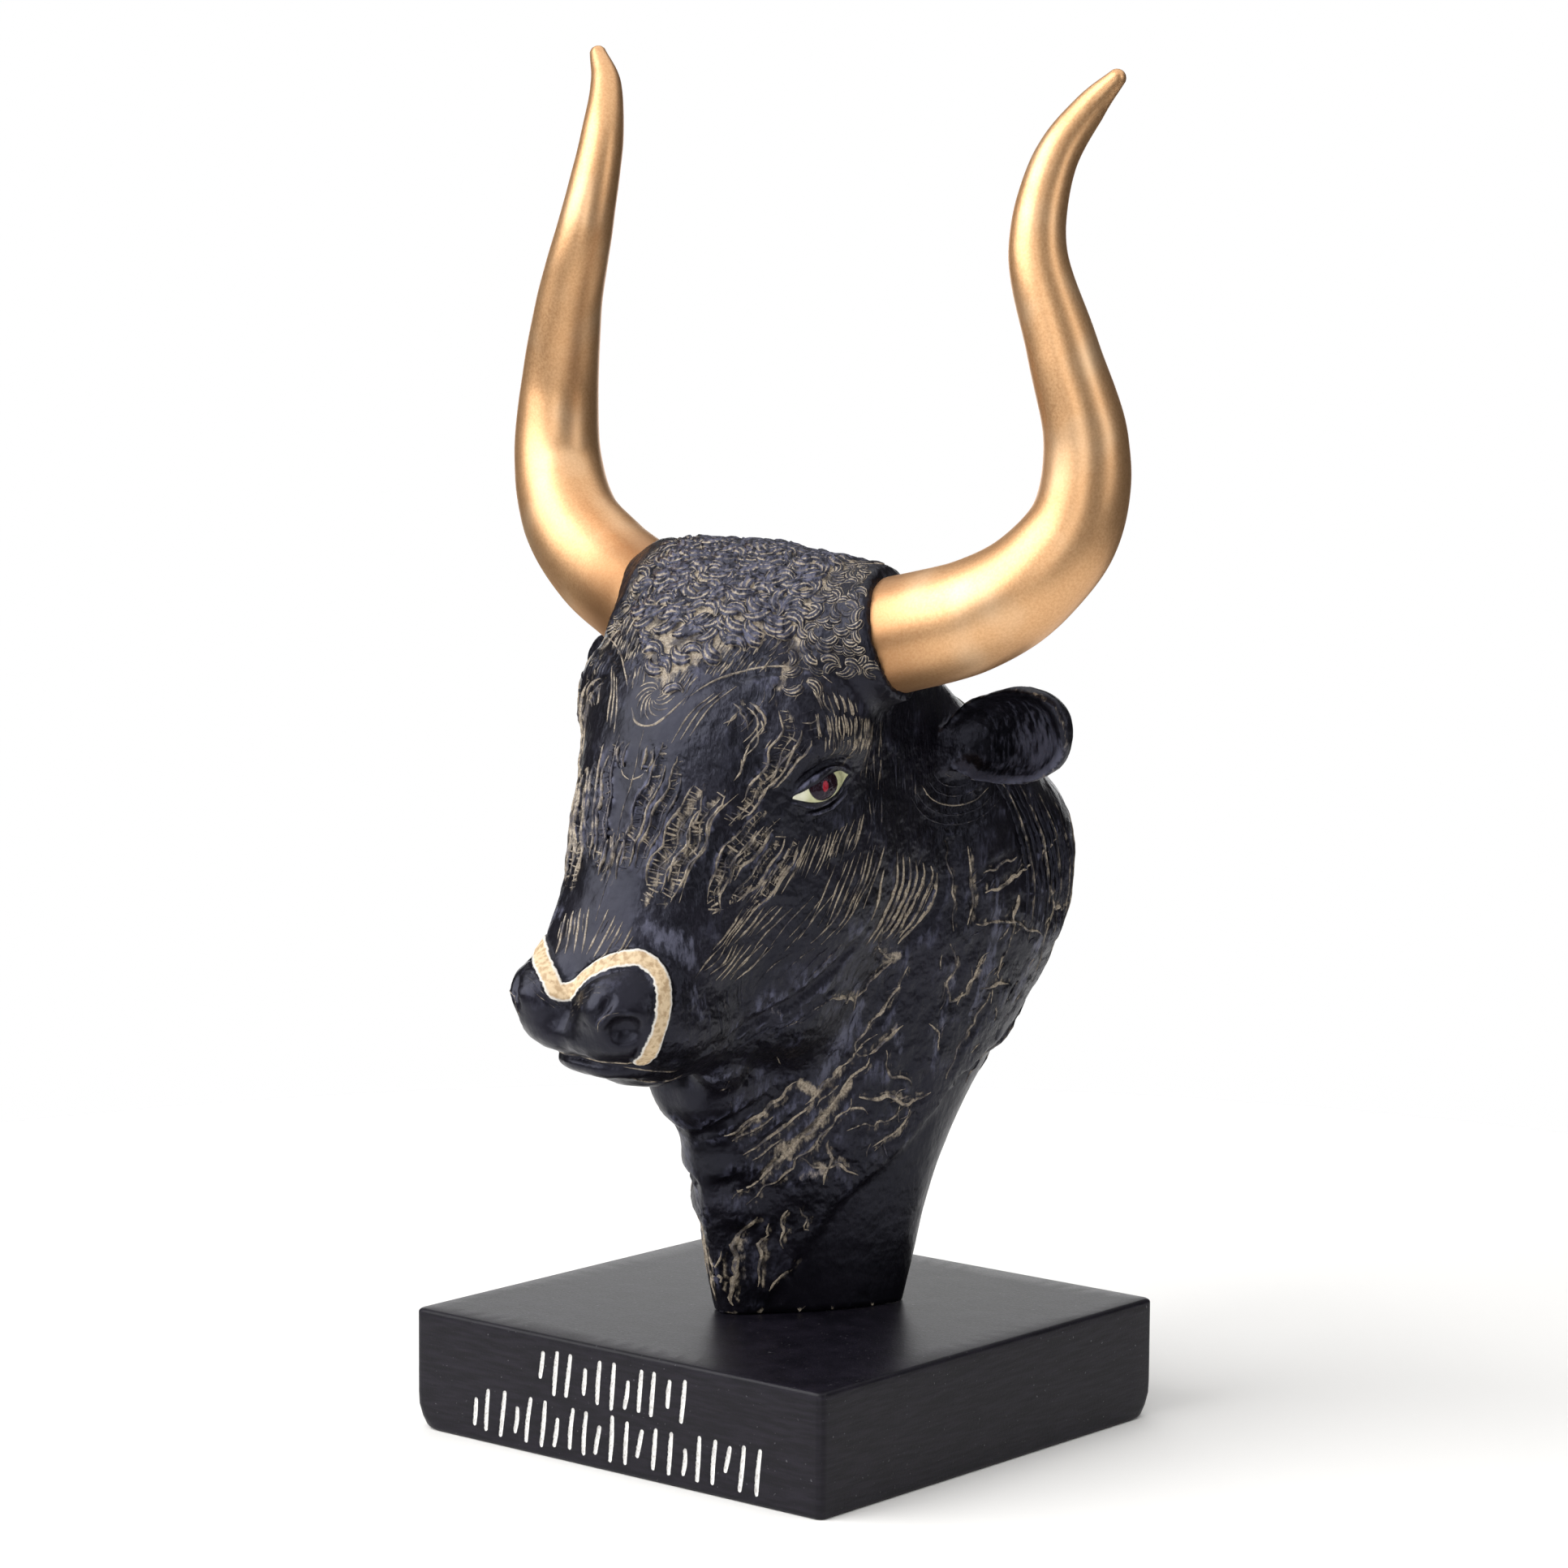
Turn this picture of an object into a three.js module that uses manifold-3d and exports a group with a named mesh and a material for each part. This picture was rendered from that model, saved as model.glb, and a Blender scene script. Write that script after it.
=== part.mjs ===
// Bull head bust on a square plinth: a black cast bust with two gold horns set in its brow.
// Millimetres, +Z up, the bull looks towards -Y. The origin is the centre of the plinth's underside.
import * as THREE from 'three';
import Module from 'manifold-3d';

const wasm = await Module();
wasm.setup();

// Plinth
const PLINTH_SIDE = 130;
const PLINTH_HEIGHT = 30;
const PLINTH_TOP_ROUND = 1;
const PLINTH_CORNER_ROUND = 2;
const PLINTH_WORN_ROUND = 6;

// Clearance between pieces that are glued together
const GAP = 0.3;

// Stance: the whole bust leans a little to the bull's left and stands a little to its right
const LEAN = THREE.MathUtils.degToRad(3);
const SHIFT_X = -4;
const BUST_BOTTOM = PLINTH_HEIGHT + GAP;

// The head's own axis runs from the poll down the face, tilted forward from the vertical
const FACE_TILT = THREE.MathUtils.degToRad(25);
const POLL = { y: -15, z: 220 };

// Neck sections: height, front y, widest y, back y, half width, roundness in front, roundness behind
const NECK = [
  [20, -16.5, 18, 25, 24.5, 1.4, 2.2],
  [40, -23.0, 18, 34, 26.5, 1.4, 2.2],
  [55, -27.0, 19, 39, 28.0, 1.4, 2.1],
  [70, -31.0, 21, 46.5, 30.0, 1.45, 2.1],
  [85, -33.0, 25, 57, 32.5, 1.5, 2.1],
  [100, -30.0, 31, 71, 35.5, 1.6, 2.1],
  [115, -26.0, 37, 83, 38.0, 1.75, 2.1],
  [130, -22.0, 41, 89, 40.0, 1.9, 2.1],
  [145, -20.0, 40, 88.5, 40.0, 2.0, 2.1],
  [156, -18.0, 36, 82, 38.5, 2.0, 2.1],
  [168, -16.0, 26, 64, 36.0, 2.0, 2.1],
  [180, -14.0, 14, 41, 33.0, 2.0, 2.1],
  [192, -12.0, 5, 25, 30.0, 2.0, 2.0],
  [204, -10.0, -2, 12, 26.0, 2.0, 2.0],
];

// Head sections: distance down the face, face line, widest place, throat line, half width, two roundnesses
const HEAD = [
  [6, 5.0, -10, -34, 33.0, 2.3, 2.2],
  [18, 14.0, -12, -42, 35.0, 2.4, 2.2],
  [32, 19.5, -12, -50, 35.5, 2.4, 2.2],
  [46, 21.5, -12, -56, 35.0, 2.4, 2.2],
  [60, 21.5, -14, -58, 33.5, 2.35, 2.2],
  [75, 19.5, -14, -57, 30.0, 2.3, 2.2],
  [90, 17.0, -12, -50, 26.5, 2.3, 2.2],
  [105, 15.8, -6, -38, 24.0, 2.4, 2.2],
  [114, 15.5, -1, -27, 22.5, 2.4, 2.2],
  [122, 13.5, 0, -20, 19.5, 2.3, 2.2],
  [128, 10.0, 0, -16, 14.0, 2.2, 2.2],
];

// Lower edge of the modelled skin of the neck: y and height; below it the stem is plain and steps back
const SKIN_EDGE = [[-17, 26], [-11, 42.6], [-2, 59.8], [5, 66], [14, 73.5], [28, 88.5], [38, 93], [60, 98]];
const SKIN_STEP = 1.3;

// Horn stations: x, y, z of the centre line and the radius, from the brow to the tip
const HORN = [
  [39, -15, 202, 13.8],
  [58, -10, 208.5, 13.4],
  [72.3, -7, 218, 12.2],
  [81.4, -3, 232, 11.0],
  [82.5, -2.3, 250, 9.9],
  [77, -6, 272, 8.3],
  [70, -8.3, 294, 6.8],
  [70, -4, 314, 5.3],
  [75, 2, 327, 3.8],
  [80.3, 4.6, 334, 2.2],
];
const HORN_ROOT_DEPTH = 10;
const HORN_SIDES = 16;
const HORN_RINGS = 24;

// Horn seat: a collar around each horn, cut square to it, and cut slanting on the bull's right side
const COLLAR_RADIUS = 15.6;
const COLLAR_LENGTH = 14;
const COLLAR_SIDES = 24;
// Collar rings: distance from its face, radius
const COLLAR_PROFILE = [[-14, 10], [-9, 14.2], [-4, 15.5], [-0.9, 15.6], [0, 14.9]];
const SEAT = new THREE.Vector3(39, -15, 202);
const HORN_DIRECTION = new THREE.Vector3(9, 3, 3).normalize();
const SLANT_POINT = new THREE.Vector3(33.4, -14, 215.8);
const SLANT_NORMAL = new THREE.Vector3(0.84, -0.35, 0.42).normalize();

// Ears
const EAR_ROOT = new THREE.Vector3(33, 13, 171.5);
const EAR_TIP = new THREE.Vector3(73, 9, 181.5);
const EAR_FACING = new THREE.Vector3(0.28, -0.93, -0.12);
const EAR_HALF_LENGTH = 21;
const EAR_HALF_HEIGHT = 11.8;
const EAR_SEGMENTS = 24;
// Ear profile from the middle of its back round the rim to the bottom of the cup: share of the outline, depth
const EAR_PROFILE = [
  [0.45, -7.9], [0.75, -5.8], [0.93, -3.0], [1.0, -0.2], [0.97, 1.1],
  [0.88, 0.9], [0.8, -1.5], [0.66, -4.0], [0.4, -5.6],
];
const EAR_BACK_DEPTH = -8.5;
const EAR_CUP_DEPTH = -6.2;

// Mesh spacing
const COARSE = 7.8;
const MEDIUM = 5.6;
const FINE = 3.8;
const SHORTEST_EDGE = 0.05;

function clamp(value, low, high) {
  return Math.min(high, Math.max(low, value));
}

// The lesser of two fields, rounded off where they meet
function blend(a, b, width) {
  const share = clamp(0.5 + (0.5 * (b - a)) / width, 0, 1);
  return b + (a - b) * share - width * share * (1 - share);
}

// The field a with the body b cut out of it, the edge rounded
function carve(a, b, width) {
  return -blend(-a, b, width);
}

// Smooth interpolation of every column of a table at u
function row(table, u) {
  const last = table.length - 1;
  const at = clamp(u, table[0][0], table[last][0]);
  let i = 0;
  while (i < last - 1 && at > table[i + 1][0]) i += 1;
  const width = table[i + 1][0] - table[i][0];
  const s = (at - table[i][0]) / width;
  const slope = (k, column) => {
    const before = table[Math.max(0, k - 1)];
    const after = table[Math.min(last, k + 1)];
    return (after[column] - before[column]) / (after[0] - before[0]);
  };
  return table[i].map((start, column) => {
    const end = table[i + 1][column];
    const rise = s * s * (3 - 2 * s);
    const lead = s * (1 - s) * (1 - s) * width * slope(i, column);
    const tail = s * s * (s - 1) * width * slope(i + 1, column);
    return start + (end - start) * rise + lead + tail;
  });
}

// Distance to a body given by sections along u; v runs from back to front, x is sideways
function sectionBody(table, u, v, x) {
  const [, front, widest, back, halfWidth, roundFront, roundBack] = row(table, u);
  const inFront = (front - widest) * (v - widest) > 0;
  const halfDepth = Math.abs((inFront ? front : back) - widest);
  const power = inFront ? roundFront : roundBack;
  const ex = x / halfWidth;
  const ey = Math.abs(v - widest) / halfDepth;
  const reach = (ex ** power + ey ** power + 1e-9) ** (1 / power);
  const radius = (Math.hypot(ex, ey) + 1e-6) / (Math.hypot(ex / halfWidth, ey / halfDepth) + 1e-6);
  const beyond = Math.max(table[0][0] - u, u - table[table.length - 1][0]);
  return -blend(-(reach - 1) * radius, -beyond, 6);
}

// Distance to an ellipsoid whose far end is tipped up by tilt degrees
function ellipsoid(p, centre, radii, tilt = 0) {
  const angle = THREE.MathUtils.degToRad(tilt);
  const dy = p[1] - centre[1];
  const dz = p[2] - centre[2];
  const x = p[0] - centre[0];
  const y = dy * Math.cos(angle) + dz * Math.sin(angle);
  const z = -dy * Math.sin(angle) + dz * Math.cos(angle);
  const near = Math.hypot(x / radii[0], y / radii[1], z / radii[2]) + 1e-9;
  const slope = Math.hypot(x / radii[0] ** 2, y / radii[1] ** 2, z / radii[2] ** 2) + 1e-9;
  return (near * (near - 1)) / slope;
}

// Distance to a rounded bar from a to b whose radius goes from ra to rb
function bar(p, a, b, ra, rb) {
  const along = [b[0] - a[0], b[1] - a[1], b[2] - a[2]];
  const length2 = along[0] ** 2 + along[1] ** 2 + along[2] ** 2;
  const dot = (p[0] - a[0]) * along[0] + (p[1] - a[1]) * along[1] + (p[2] - a[2]) * along[2];
  const s = clamp(dot / length2, 0, 1);
  const gap = Math.hypot(p[0] - a[0] - s * along[0], p[1] - a[1] - s * along[1], p[2] - a[2] - s * along[2]);
  return gap - (ra + (rb - ra) * s);
}

// Distance to a chain of bars of one radius
function chain(p, points, radius) {
  let nearest = Infinity;
  for (let i = 1; i < points.length; i += 1) {
    nearest = Math.min(nearest, bar(p, points[i - 1], points[i], radius, radius));
  }
  return nearest;
}

// Neck down to the plinth, with the step below the modelled skin
function neckField(p) {
  const skin = sectionBody(NECK, p[2], p[1], p[0]);
  const rise = clamp((skinEdge(p[1]) - p[2]) / 2 + 0.5, 0, 1);
  let field = skin;
  for (const [centre, radii] of [
    [[3, -21, 71], [8, 9.5, 9.5]],
    [[4, -17.5, 58.5], [7, 8, 6]],
  ]) {
    field = blend(field, ellipsoid(p, centre, radii), 3);
  }
  return field + SKIN_STEP * rise * rise * (3 - 2 * rise);
}

function skinEdge(y) {
  const last = SKIN_EDGE.length - 1;
  let i = 0;
  while (i < last - 1 && y > SKIN_EDGE[i + 1][0]) i += 1;
  const s = clamp((y - SKIN_EDGE[i][0]) / (SKIN_EDGE[i + 1][0] - SKIN_EDGE[i][0]), 0, 1);
  return SKIN_EDGE[i][1] + s * (SKIN_EDGE[i + 1][1] - SKIN_EDGE[i][1]);
}

// Skull, brows, eyes and cheeks
function skullField(p) {
  const dy = p[1] - POLL.y;
  const dz = p[2] - POLL.z;
  const down = -dy * Math.sin(FACE_TILT) - dz * Math.cos(FACE_TILT);
  const out = -dy * Math.cos(FACE_TILT) + dz * Math.sin(FACE_TILT);
  let field = sectionBody(HEAD, down, out, p[0]);
  field = blend(field, bar(p, [0, -14, 204], [29, -15.5, 202.5], 15.5, 15), 8);
  field = blend(field, ellipsoid(p, [27, -31, 181], [13, 13.5, 14]), 8);
  field = blend(field, ellipsoid(p, [20, -14, 142], [15.5, 22, 30], -22), 14);
  field = carve(field, ellipsoid(p, [39.5, -34.5, 167.5], [4.5, 9.5, 6], 20), 4);
  return blend(field, ellipsoid(p, [31, -33, 167.6], [6.8, 7.8, 5.2], 20), 1.5);
}

// Nose lobes, nostrils, lips, chin and throat
function muzzleField(p, skull) {
  let field = blend(skull, ellipsoid(p, [10.5, -71, 114.8], [11.5, 14, 9.5]), 5);
  field = blend(field, ellipsoid(p, [4, -68, 107.5], [15, 14.5, 6]), 5);
  field = blend(field, ellipsoid(p, [15, -58.5, 110], [8.5, 11, 7.5]), 6);
  field = blend(field, bar(p, [6, -56, 103.5], [15.5, -22, 110], 7.5, 12), 12);
  const mouth = [[0, -86, 103], [10, -81, 102.6], [17, -71, 102], [21, -60, 101.8], [23, -52, 105.5]];
  field = carve(field, chain(p, mouth, 1.5), 2);
  field = blend(field, ellipsoid(p, [2, -63.5, 99.6], [12, 11.5, 3.8]), 2);
  field = blend(field, ellipsoid(p, [0, -57, 96.8], [9, 7.5, 4.2]), 2.5);
  const nostril = [[13, -86, 115.5], [16, -83.5, 117], [18.5, -81, 114.5]];
  field = carve(field, chain(p, nostril, 1.8), 2);
  field = blend(field, ellipsoid(p, [3, -32, 90.5], [9.5, 11, 11]), 4);
  return blend(field, ellipsoid(p, [11, -38, 97], [6, 7, 6]), 4);
}

// Plane that ends the collar
function collarPlane(onRight) {
  return onRight ? { point: SLANT_POINT, normal: SLANT_NORMAL } : { point: SEAT, normal: HORN_DIRECTION };
}

// Swelling of the brow under the collar
function seatField(p, onRight) {
  const inner = SEAT.clone().addScaledVector(HORN_DIRECTION, -COLLAR_LENGTH).toArray();
  const side = bar(p, inner, SEAT.toArray(), COLLAR_RADIUS - 0.8, COLLAR_RADIUS - 0.8);
  const { point, normal } = collarPlane(onRight);
  const plane = (p[0] - point.x) * normal.x + (p[1] - point.y) * normal.y + (p[2] - point.z) * normal.z;
  return -blend(-side, -(plane + 2), 2.5);
}

// Collar round the horn with a crisp rim; side is 1 for the bull's left, -1 for its right
function collarBody(side) {
  const across = new THREE.Vector3(0, 0, 1).cross(HORN_DIRECTION).normalize();
  const up = new THREE.Vector3().crossVectors(HORN_DIRECTION, across);
  const { point, normal } = collarPlane(side < 0);
  const rings = COLLAR_PROFILE.map(([back, radius]) => circle(SEAT, across, up, radius, COLLAR_SIDES).map((q) => {
    const reach = point.clone().sub(q).dot(normal) / HORN_DIRECTION.dot(normal);
    return q.addScaledVector(HORN_DIRECTION, reach + back);
  }));
  const ends = [rings[0], rings[rings.length - 1]].map((ring) => ring
    .reduce((sum, q) => sum.add(q), new THREE.Vector3()).divideScalar(COLLAR_SIDES));
  return placed(ringBody(rings, ends[0], ends[1]), side);
}

// Fleshy root that carries the ear
function earRootField(p) {
  const { along, facing } = earAxes();
  const inner = EAR_ROOT.clone().addScaledVector(along, -4).addScaledVector(facing, -2).toArray();
  const outer = EAR_ROOT.clone().addScaledVector(along, 6).addScaledVector(facing, -7.5).toArray();
  return bar(p, inner, outer, 9, 4.5);
}

// The whole bust without ear cups, in its own upright frame, the same on both sides but for the seats
function bustField(x, y, z) {
  const p = [Math.abs(x), y, z];
  const head = muzzleField(p, skullField(p));
  let field = blend(neckField(p), head, 12);
  field = blend(field, seatField(p, x < 0), 5);
  return blend(field, earRootField(p), 3);
}

// Bust frame to part frame: lean to the side about the foot, then shift
function stand(point) {
  const x = point.x;
  const z = point.z - PLINTH_HEIGHT;
  const cos = Math.cos(LEAN);
  const sin = Math.sin(LEAN);
  return point.set(x * cos + z * sin + SHIFT_X, point.y, PLINTH_HEIGHT - x * sin + z * cos);
}

// Grid planes from low to high whose spacing is closer in the listed bands: [start, end, spacing]
function planes(low, high, spacing, bands) {
  const list = [low];
  while (list[list.length - 1] < high) {
    const at = list[list.length - 1];
    const band = bands.find(([start, end]) => at >= start && at < end);
    list.push(at + (band ? band[2] : spacing));
  }
  return list;
}

const CUBE = [0, 1, 2, 3, 4, 5, 6, 7].map((n) => [n & 1, (n >> 1) & 1, (n >> 2) & 1]);
const CUBE_EDGES = CUBE.flatMap((a, i) => CUBE.map((b, j) => [i, j]).filter(
  ([, j]) => j > i && Math.abs(a[0] - CUBE[j][0]) + Math.abs(a[1] - CUBE[j][1]) + Math.abs(a[2] - CUBE[j][2]) === 1));

// Surface of a field on a grid of uneven planes: one point in each cell that the surface crosses
function surface(field, gx, gy, gz) {
  const size = [gx.length, gy.length, gz.length];
  const index = (i, j, k) => (i * size[1] + j) * size[2] + k;
  const values = new Float64Array(size[0] * size[1] * size[2]);
  for (let i = 0; i < size[0]; i += 1) {
    for (let j = 0; j < size[1]; j += 1) {
      for (let k = 0; k < size[2]; k += 1) values[index(i, j, k)] = field(gx[i], gy[j], gz[k]);
    }
  }
  const cellPoint = new Int32Array(values.length).fill(-1);
  const points = [];
  for (let i = 0; i < size[0] - 1; i += 1) {
    for (let j = 0; j < size[1] - 1; j += 1) {
      for (let k = 0; k < size[2] - 1; k += 1) {
        const point = cellCrossing(values, index, gx, gy, gz, i, j, k);
        if (!point) continue;
        cellPoint[index(i, j, k)] = points.length;
        points.push(settle(field, point));
      }
    }
  }
  const triangles = [];
  const strides = [index(1, 0, 0), index(0, 1, 0), index(0, 0, 1)];
  for (let i = 1; i < size[0] - 1; i += 1) {
    for (let j = 1; j < size[1] - 1; j += 1) {
      for (let k = 1; k < size[2] - 1; k += 1) {
        const here = index(i, j, k);
        for (let axis = 0; axis < 3; axis += 1) {
          const inside = values[here] < 0;
          if (inside === values[here + strides[axis]] < 0) continue;
          const u = strides[(axis + 1) % 3];
          const v = strides[(axis + 2) % 3];
          const quad = [here, here - u, here - u - v, here - v].map((cell) => cellPoint[cell]);
          addQuad(triangles, points, inside ? quad : quad.reverse());
        }
      }
    }
  }
  return toManifold(points, triangles);
}

// Mean of the places where the surface crosses a cell's edges, or nothing
function cellCrossing(values, index, gx, gy, gz, i, j, k) {
  const corner = CUBE.map(([a, b, c]) => values[index(i + a, j + b, k + c)]);
  const sum = new THREE.Vector3();
  let count = 0;
  for (const [a, b] of CUBE_EDGES) {
    if (corner[a] < 0 === corner[b] < 0) continue;
    const s = corner[a] / (corner[a] - corner[b]);
    const mix = [0, 1, 2].map((axis) => CUBE[a][axis] + s * (CUBE[b][axis] - CUBE[a][axis]));
    sum.x += gx[i] + mix[0] * (gx[i + 1] - gx[i]);
    sum.y += gy[j] + mix[1] * (gy[j + 1] - gy[j]);
    sum.z += gz[k] + mix[2] * (gz[k + 1] - gz[k]);
    count += 1;
  }
  return count ? sum.divideScalar(count) : null;
}

// Moves a point onto the surface, by at most a small step each time
function settle(field, point) {
  const e = 0.2;
  for (let pass = 0; pass < 3; pass += 1) {
    const value = field(point.x, point.y, point.z);
    const slope = new THREE.Vector3(
      field(point.x + e, point.y, point.z) - field(point.x - e, point.y, point.z),
      field(point.x, point.y + e, point.z) - field(point.x, point.y - e, point.z),
      field(point.x, point.y, point.z + e) - field(point.x, point.y, point.z - e),
    ).divideScalar(2 * e);
    const step = slope.multiplyScalar(-value / (slope.lengthSq() + 1e-6)).clampLength(0, 1.2);
    point.add(step);
  }
  return point;
}

// A quad as two triangles, split along its shorter diagonal
function addQuad(triangles, points, [a, b, c, d]) {
  const first = points[a].distanceToSquared(points[c]);
  const second = points[b].distanceToSquared(points[d]);
  if (first <= second) triangles.push([a, b, c], [a, c, d]);
  else triangles.push([a, b, d], [b, c, d]);
}

function toManifold(points, triangles) {
  const vertProperties = new Float32Array(points.flatMap((p) => [p.x, p.y, p.z]));
  const triVerts = new Uint32Array(triangles.flat());
  const mesh = new wasm.Mesh({ numProp: 3, vertProperties, triVerts });
  mesh.merge();
  return new wasm.Manifold(mesh);
}

// Closed body from rings of equal size, each end closed by a fan round an end point
function ringBody(rings, start, end) {
  const sides = rings[0].length;
  const points = [start, ...rings.flat(), end];
  const at = (ring, side) => 1 + ring * sides + (side % sides);
  const triangles = [];
  for (let side = 0; side < sides; side += 1) {
    triangles.push([0, at(0, side + 1), at(0, side)]);
    for (let ring = 0; ring < rings.length - 1; ring += 1) {
      triangles.push([at(ring, side), at(ring, side + 1), at(ring + 1, side + 1)]);
      triangles.push([at(ring, side), at(ring + 1, side + 1), at(ring + 1, side)]);
    }
    triangles.push([points.length - 1, at(rings.length - 1, side), at(rings.length - 1, side + 1)]);
  }
  return toManifold(points, triangles);
}

// Horn as rings round its curved centre line; side is 1 for the bull's left, -1 for its right
function hornBody(side, swell) {
  const root = SEAT.clone().addScaledVector(HORN_DIRECTION, -HORN_ROOT_DEPTH - swell);
  const places = [root, ...HORN.map(([x, y, z]) => new THREE.Vector3(x, y, z))];
  const curve = new THREE.CatmullRomCurve3(places, false, 'centripetal');
  const radii = new THREE.SplineCurve([HORN[0], ...HORN].map(([, , , r], i) => new THREE.Vector2(i, r)));
  const frames = curve.computeFrenetFrames(HORN_RINGS, false);
  const rings = [];
  for (let n = 0; n <= HORN_RINGS; n += 1) {
    const u = n / HORN_RINGS;
    const centre = curve.getPointAt(u);
    const radius = radii.getPoint(curve.getUtoTmapping(u)).y + swell;
    rings.push(circle(centre, frames.normals[n], frames.binormals[n], radius, HORN_SIDES));
  }
  const tipRadius = HORN[HORN.length - 1][3] + swell;
  const direction = frames.tangents[HORN_RINGS];
  const tip = curve.getPointAt(1);
  const shoulder = tip.clone().addScaledVector(direction, tipRadius * 0.6);
  const lastNormal = frames.normals[HORN_RINGS];
  rings.push(circle(shoulder, lastNormal, frames.binormals[HORN_RINGS], tipRadius * 0.75, HORN_SIDES));
  const end = tip.clone().addScaledVector(direction, tipRadius * 0.95);
  return placed(ringBody(rings, curve.getPointAt(0), end), side);
}

function circle(centre, across, up, radius, sides) {
  return Array.from({ length: sides }, (_, n) => {
    const angle = (2 * Math.PI * n) / sides;
    return centre.clone()
      .addScaledVector(across, radius * Math.cos(angle))
      .addScaledVector(up, radius * Math.sin(angle));
  });
}

// A body of the bust frame mirrored where asked and stood on the plinth
function placed(body, side) {
  const mesh = body.getMesh();
  const points = [];
  for (let i = 0; i < mesh.vertProperties.length; i += mesh.numProp) {
    const [x, y, z] = mesh.vertProperties.slice(i, i + 3);
    points.push(stand(new THREE.Vector3(side * x, y, z)));
  }
  const triangles = [];
  for (let i = 0; i < mesh.triVerts.length; i += 3) {
    const [a, b, c] = mesh.triVerts.slice(i, i + 3);
    triangles.push(side > 0 ? [a, b, c] : [a, c, b]);
  }
  return toManifold(points, triangles);
}

// Unit vectors of the ear: along it, the way its cup faces, and across
function earAxes() {
  const along = EAR_TIP.clone().sub(EAR_ROOT).normalize();
  const facing = EAR_FACING.clone().addScaledVector(along, -EAR_FACING.dot(along)).normalize();
  const across = new THREE.Vector3().crossVectors(along, facing).normalize();
  if (across.z < 0) across.negate();
  return { along, facing, across };
}

// Leaf-shaped ear cup as rings from the middle of its back round the rim to the bottom of the cup
function earBody(side) {
  const { along, facing, across } = earAxes();
  const swing = side < 0 ? -0.1 : 0;
  const stretch = side < 0 ? 1.07 : 1;
  const centre = EAR_ROOT.clone().addScaledVector(along, EAR_HALF_LENGTH).addScaledVector(across, 0.5);
  const point = (share, depth, angle, cup) => {
    const u = EAR_HALF_LENGTH * Math.sign(Math.cos(angle)) * Math.abs(Math.cos(angle)) ** (2 / 2.3) * share;
    const belly = 1 + (0.12 * u) / EAR_HALF_LENGTH;
    const v = EAR_HALF_HEIGHT * belly * Math.sin(angle) * share + (1.2 * u * Math.abs(u)) / EAR_HALF_LENGTH ** 2;
    const place = centre.clone()
      .addScaledVector(along, u - cup * 4 * (1 - share))
      .addScaledVector(across, v)
      .addScaledVector(facing, depth);
    const reach = (place.x - EAR_ROOT.x) * stretch;
    return place.set(EAR_ROOT.x + reach, place.y + swing * reach, place.z);
  };
  const rings = EAR_PROFILE.map(([share, depth], n) => Array.from({ length: EAR_SEGMENTS },
    (_, k) => point(share, depth, (2 * Math.PI * k) / EAR_SEGMENTS, n > 4 ? 1 : 0)));
  const body = ringBody(rings, point(0, EAR_BACK_DEPTH, 0, 0), point(0, EAR_CUP_DEPTH, 0, 1));
  return placed(body, side);
}

// Plinth with softened edges; two of its bottom corners are worn round
function plinthBody() {
  const levels = [
    [0, PLINTH_TOP_ROUND], [PLINTH_TOP_ROUND, 0.3], [4, 0], [PLINTH_HEIGHT - 3, 0],
    [PLINTH_HEIGHT - PLINTH_TOP_ROUND, 0], [PLINTH_HEIGHT - 0.3, 0.3], [PLINTH_HEIGHT, PLINTH_TOP_ROUND],
  ];
  const rings = levels.map(([z, inset]) => {
    const worn = PLINTH_WORN_ROUND * Math.max(0, 1 - z / 8) ** 2;
    return squareRing(PLINTH_SIDE / 2 - inset, z, [worn, 0, worn, 0]);
  });
  return ringBody(rings, new THREE.Vector3(0, 0, 0), new THREE.Vector3(0, 0, PLINTH_HEIGHT));
}

// Square outline with rounded corners; extra adds to the rounding of each corner in turn
function squareRing(half, z, extra) {
  const steps = 5;
  const points = [];
  for (let corner = 0; corner < 4; corner += 1) {
    const radius = PLINTH_CORNER_ROUND + extra[corner];
    const turn = (Math.PI / 2) * corner;
    const middle = new THREE.Vector2(half - radius, half - radius).rotateAround(new THREE.Vector2(), turn);
    for (let n = 0; n <= steps; n += 1) {
      const angle = turn + ((Math.PI / 2) * n) / steps;
      points.push(new THREE.Vector3(middle.x + radius * Math.cos(angle), middle.y + radius * Math.sin(angle), z));
    }
  }
  return points;
}

// Square block used to cut the bust off flat above the plinth
function footBlock() {
  const rings = [-20, BUST_BOTTOM].map((z) => squareRing(80, z, [0, 0, 0, 0]));
  return ringBody(rings, new THREE.Vector3(0, 0, -20), new THREE.Vector3(0, 0, BUST_BOTTOM));
}

function bustBody() {
  const gx = planes(-62, 62, MEDIUM, [[-40, -28, FINE], [28, 40, FINE]]);
  const gy = planes(-96, 104, COARSE, [[-90, -50, FINE], [-50, -10, MEDIUM]]);
  const gz = planes(9, 230, COARSE, [[90, 120, FINE], [120, 158, MEDIUM], [158, 176, FINE], [176, 224, MEDIUM]]);
  let bust = placed(surface(bustField, gx, gy, gz), 1);
  for (const side of [1, -1]) bust = bust.add(earBody(side)).add(collarBody(side));
  bust = bust.subtract(footBlock());
  for (const side of [1, -1]) bust = bust.subtract(hornBody(side, GAP));
  return bust;
}

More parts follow.
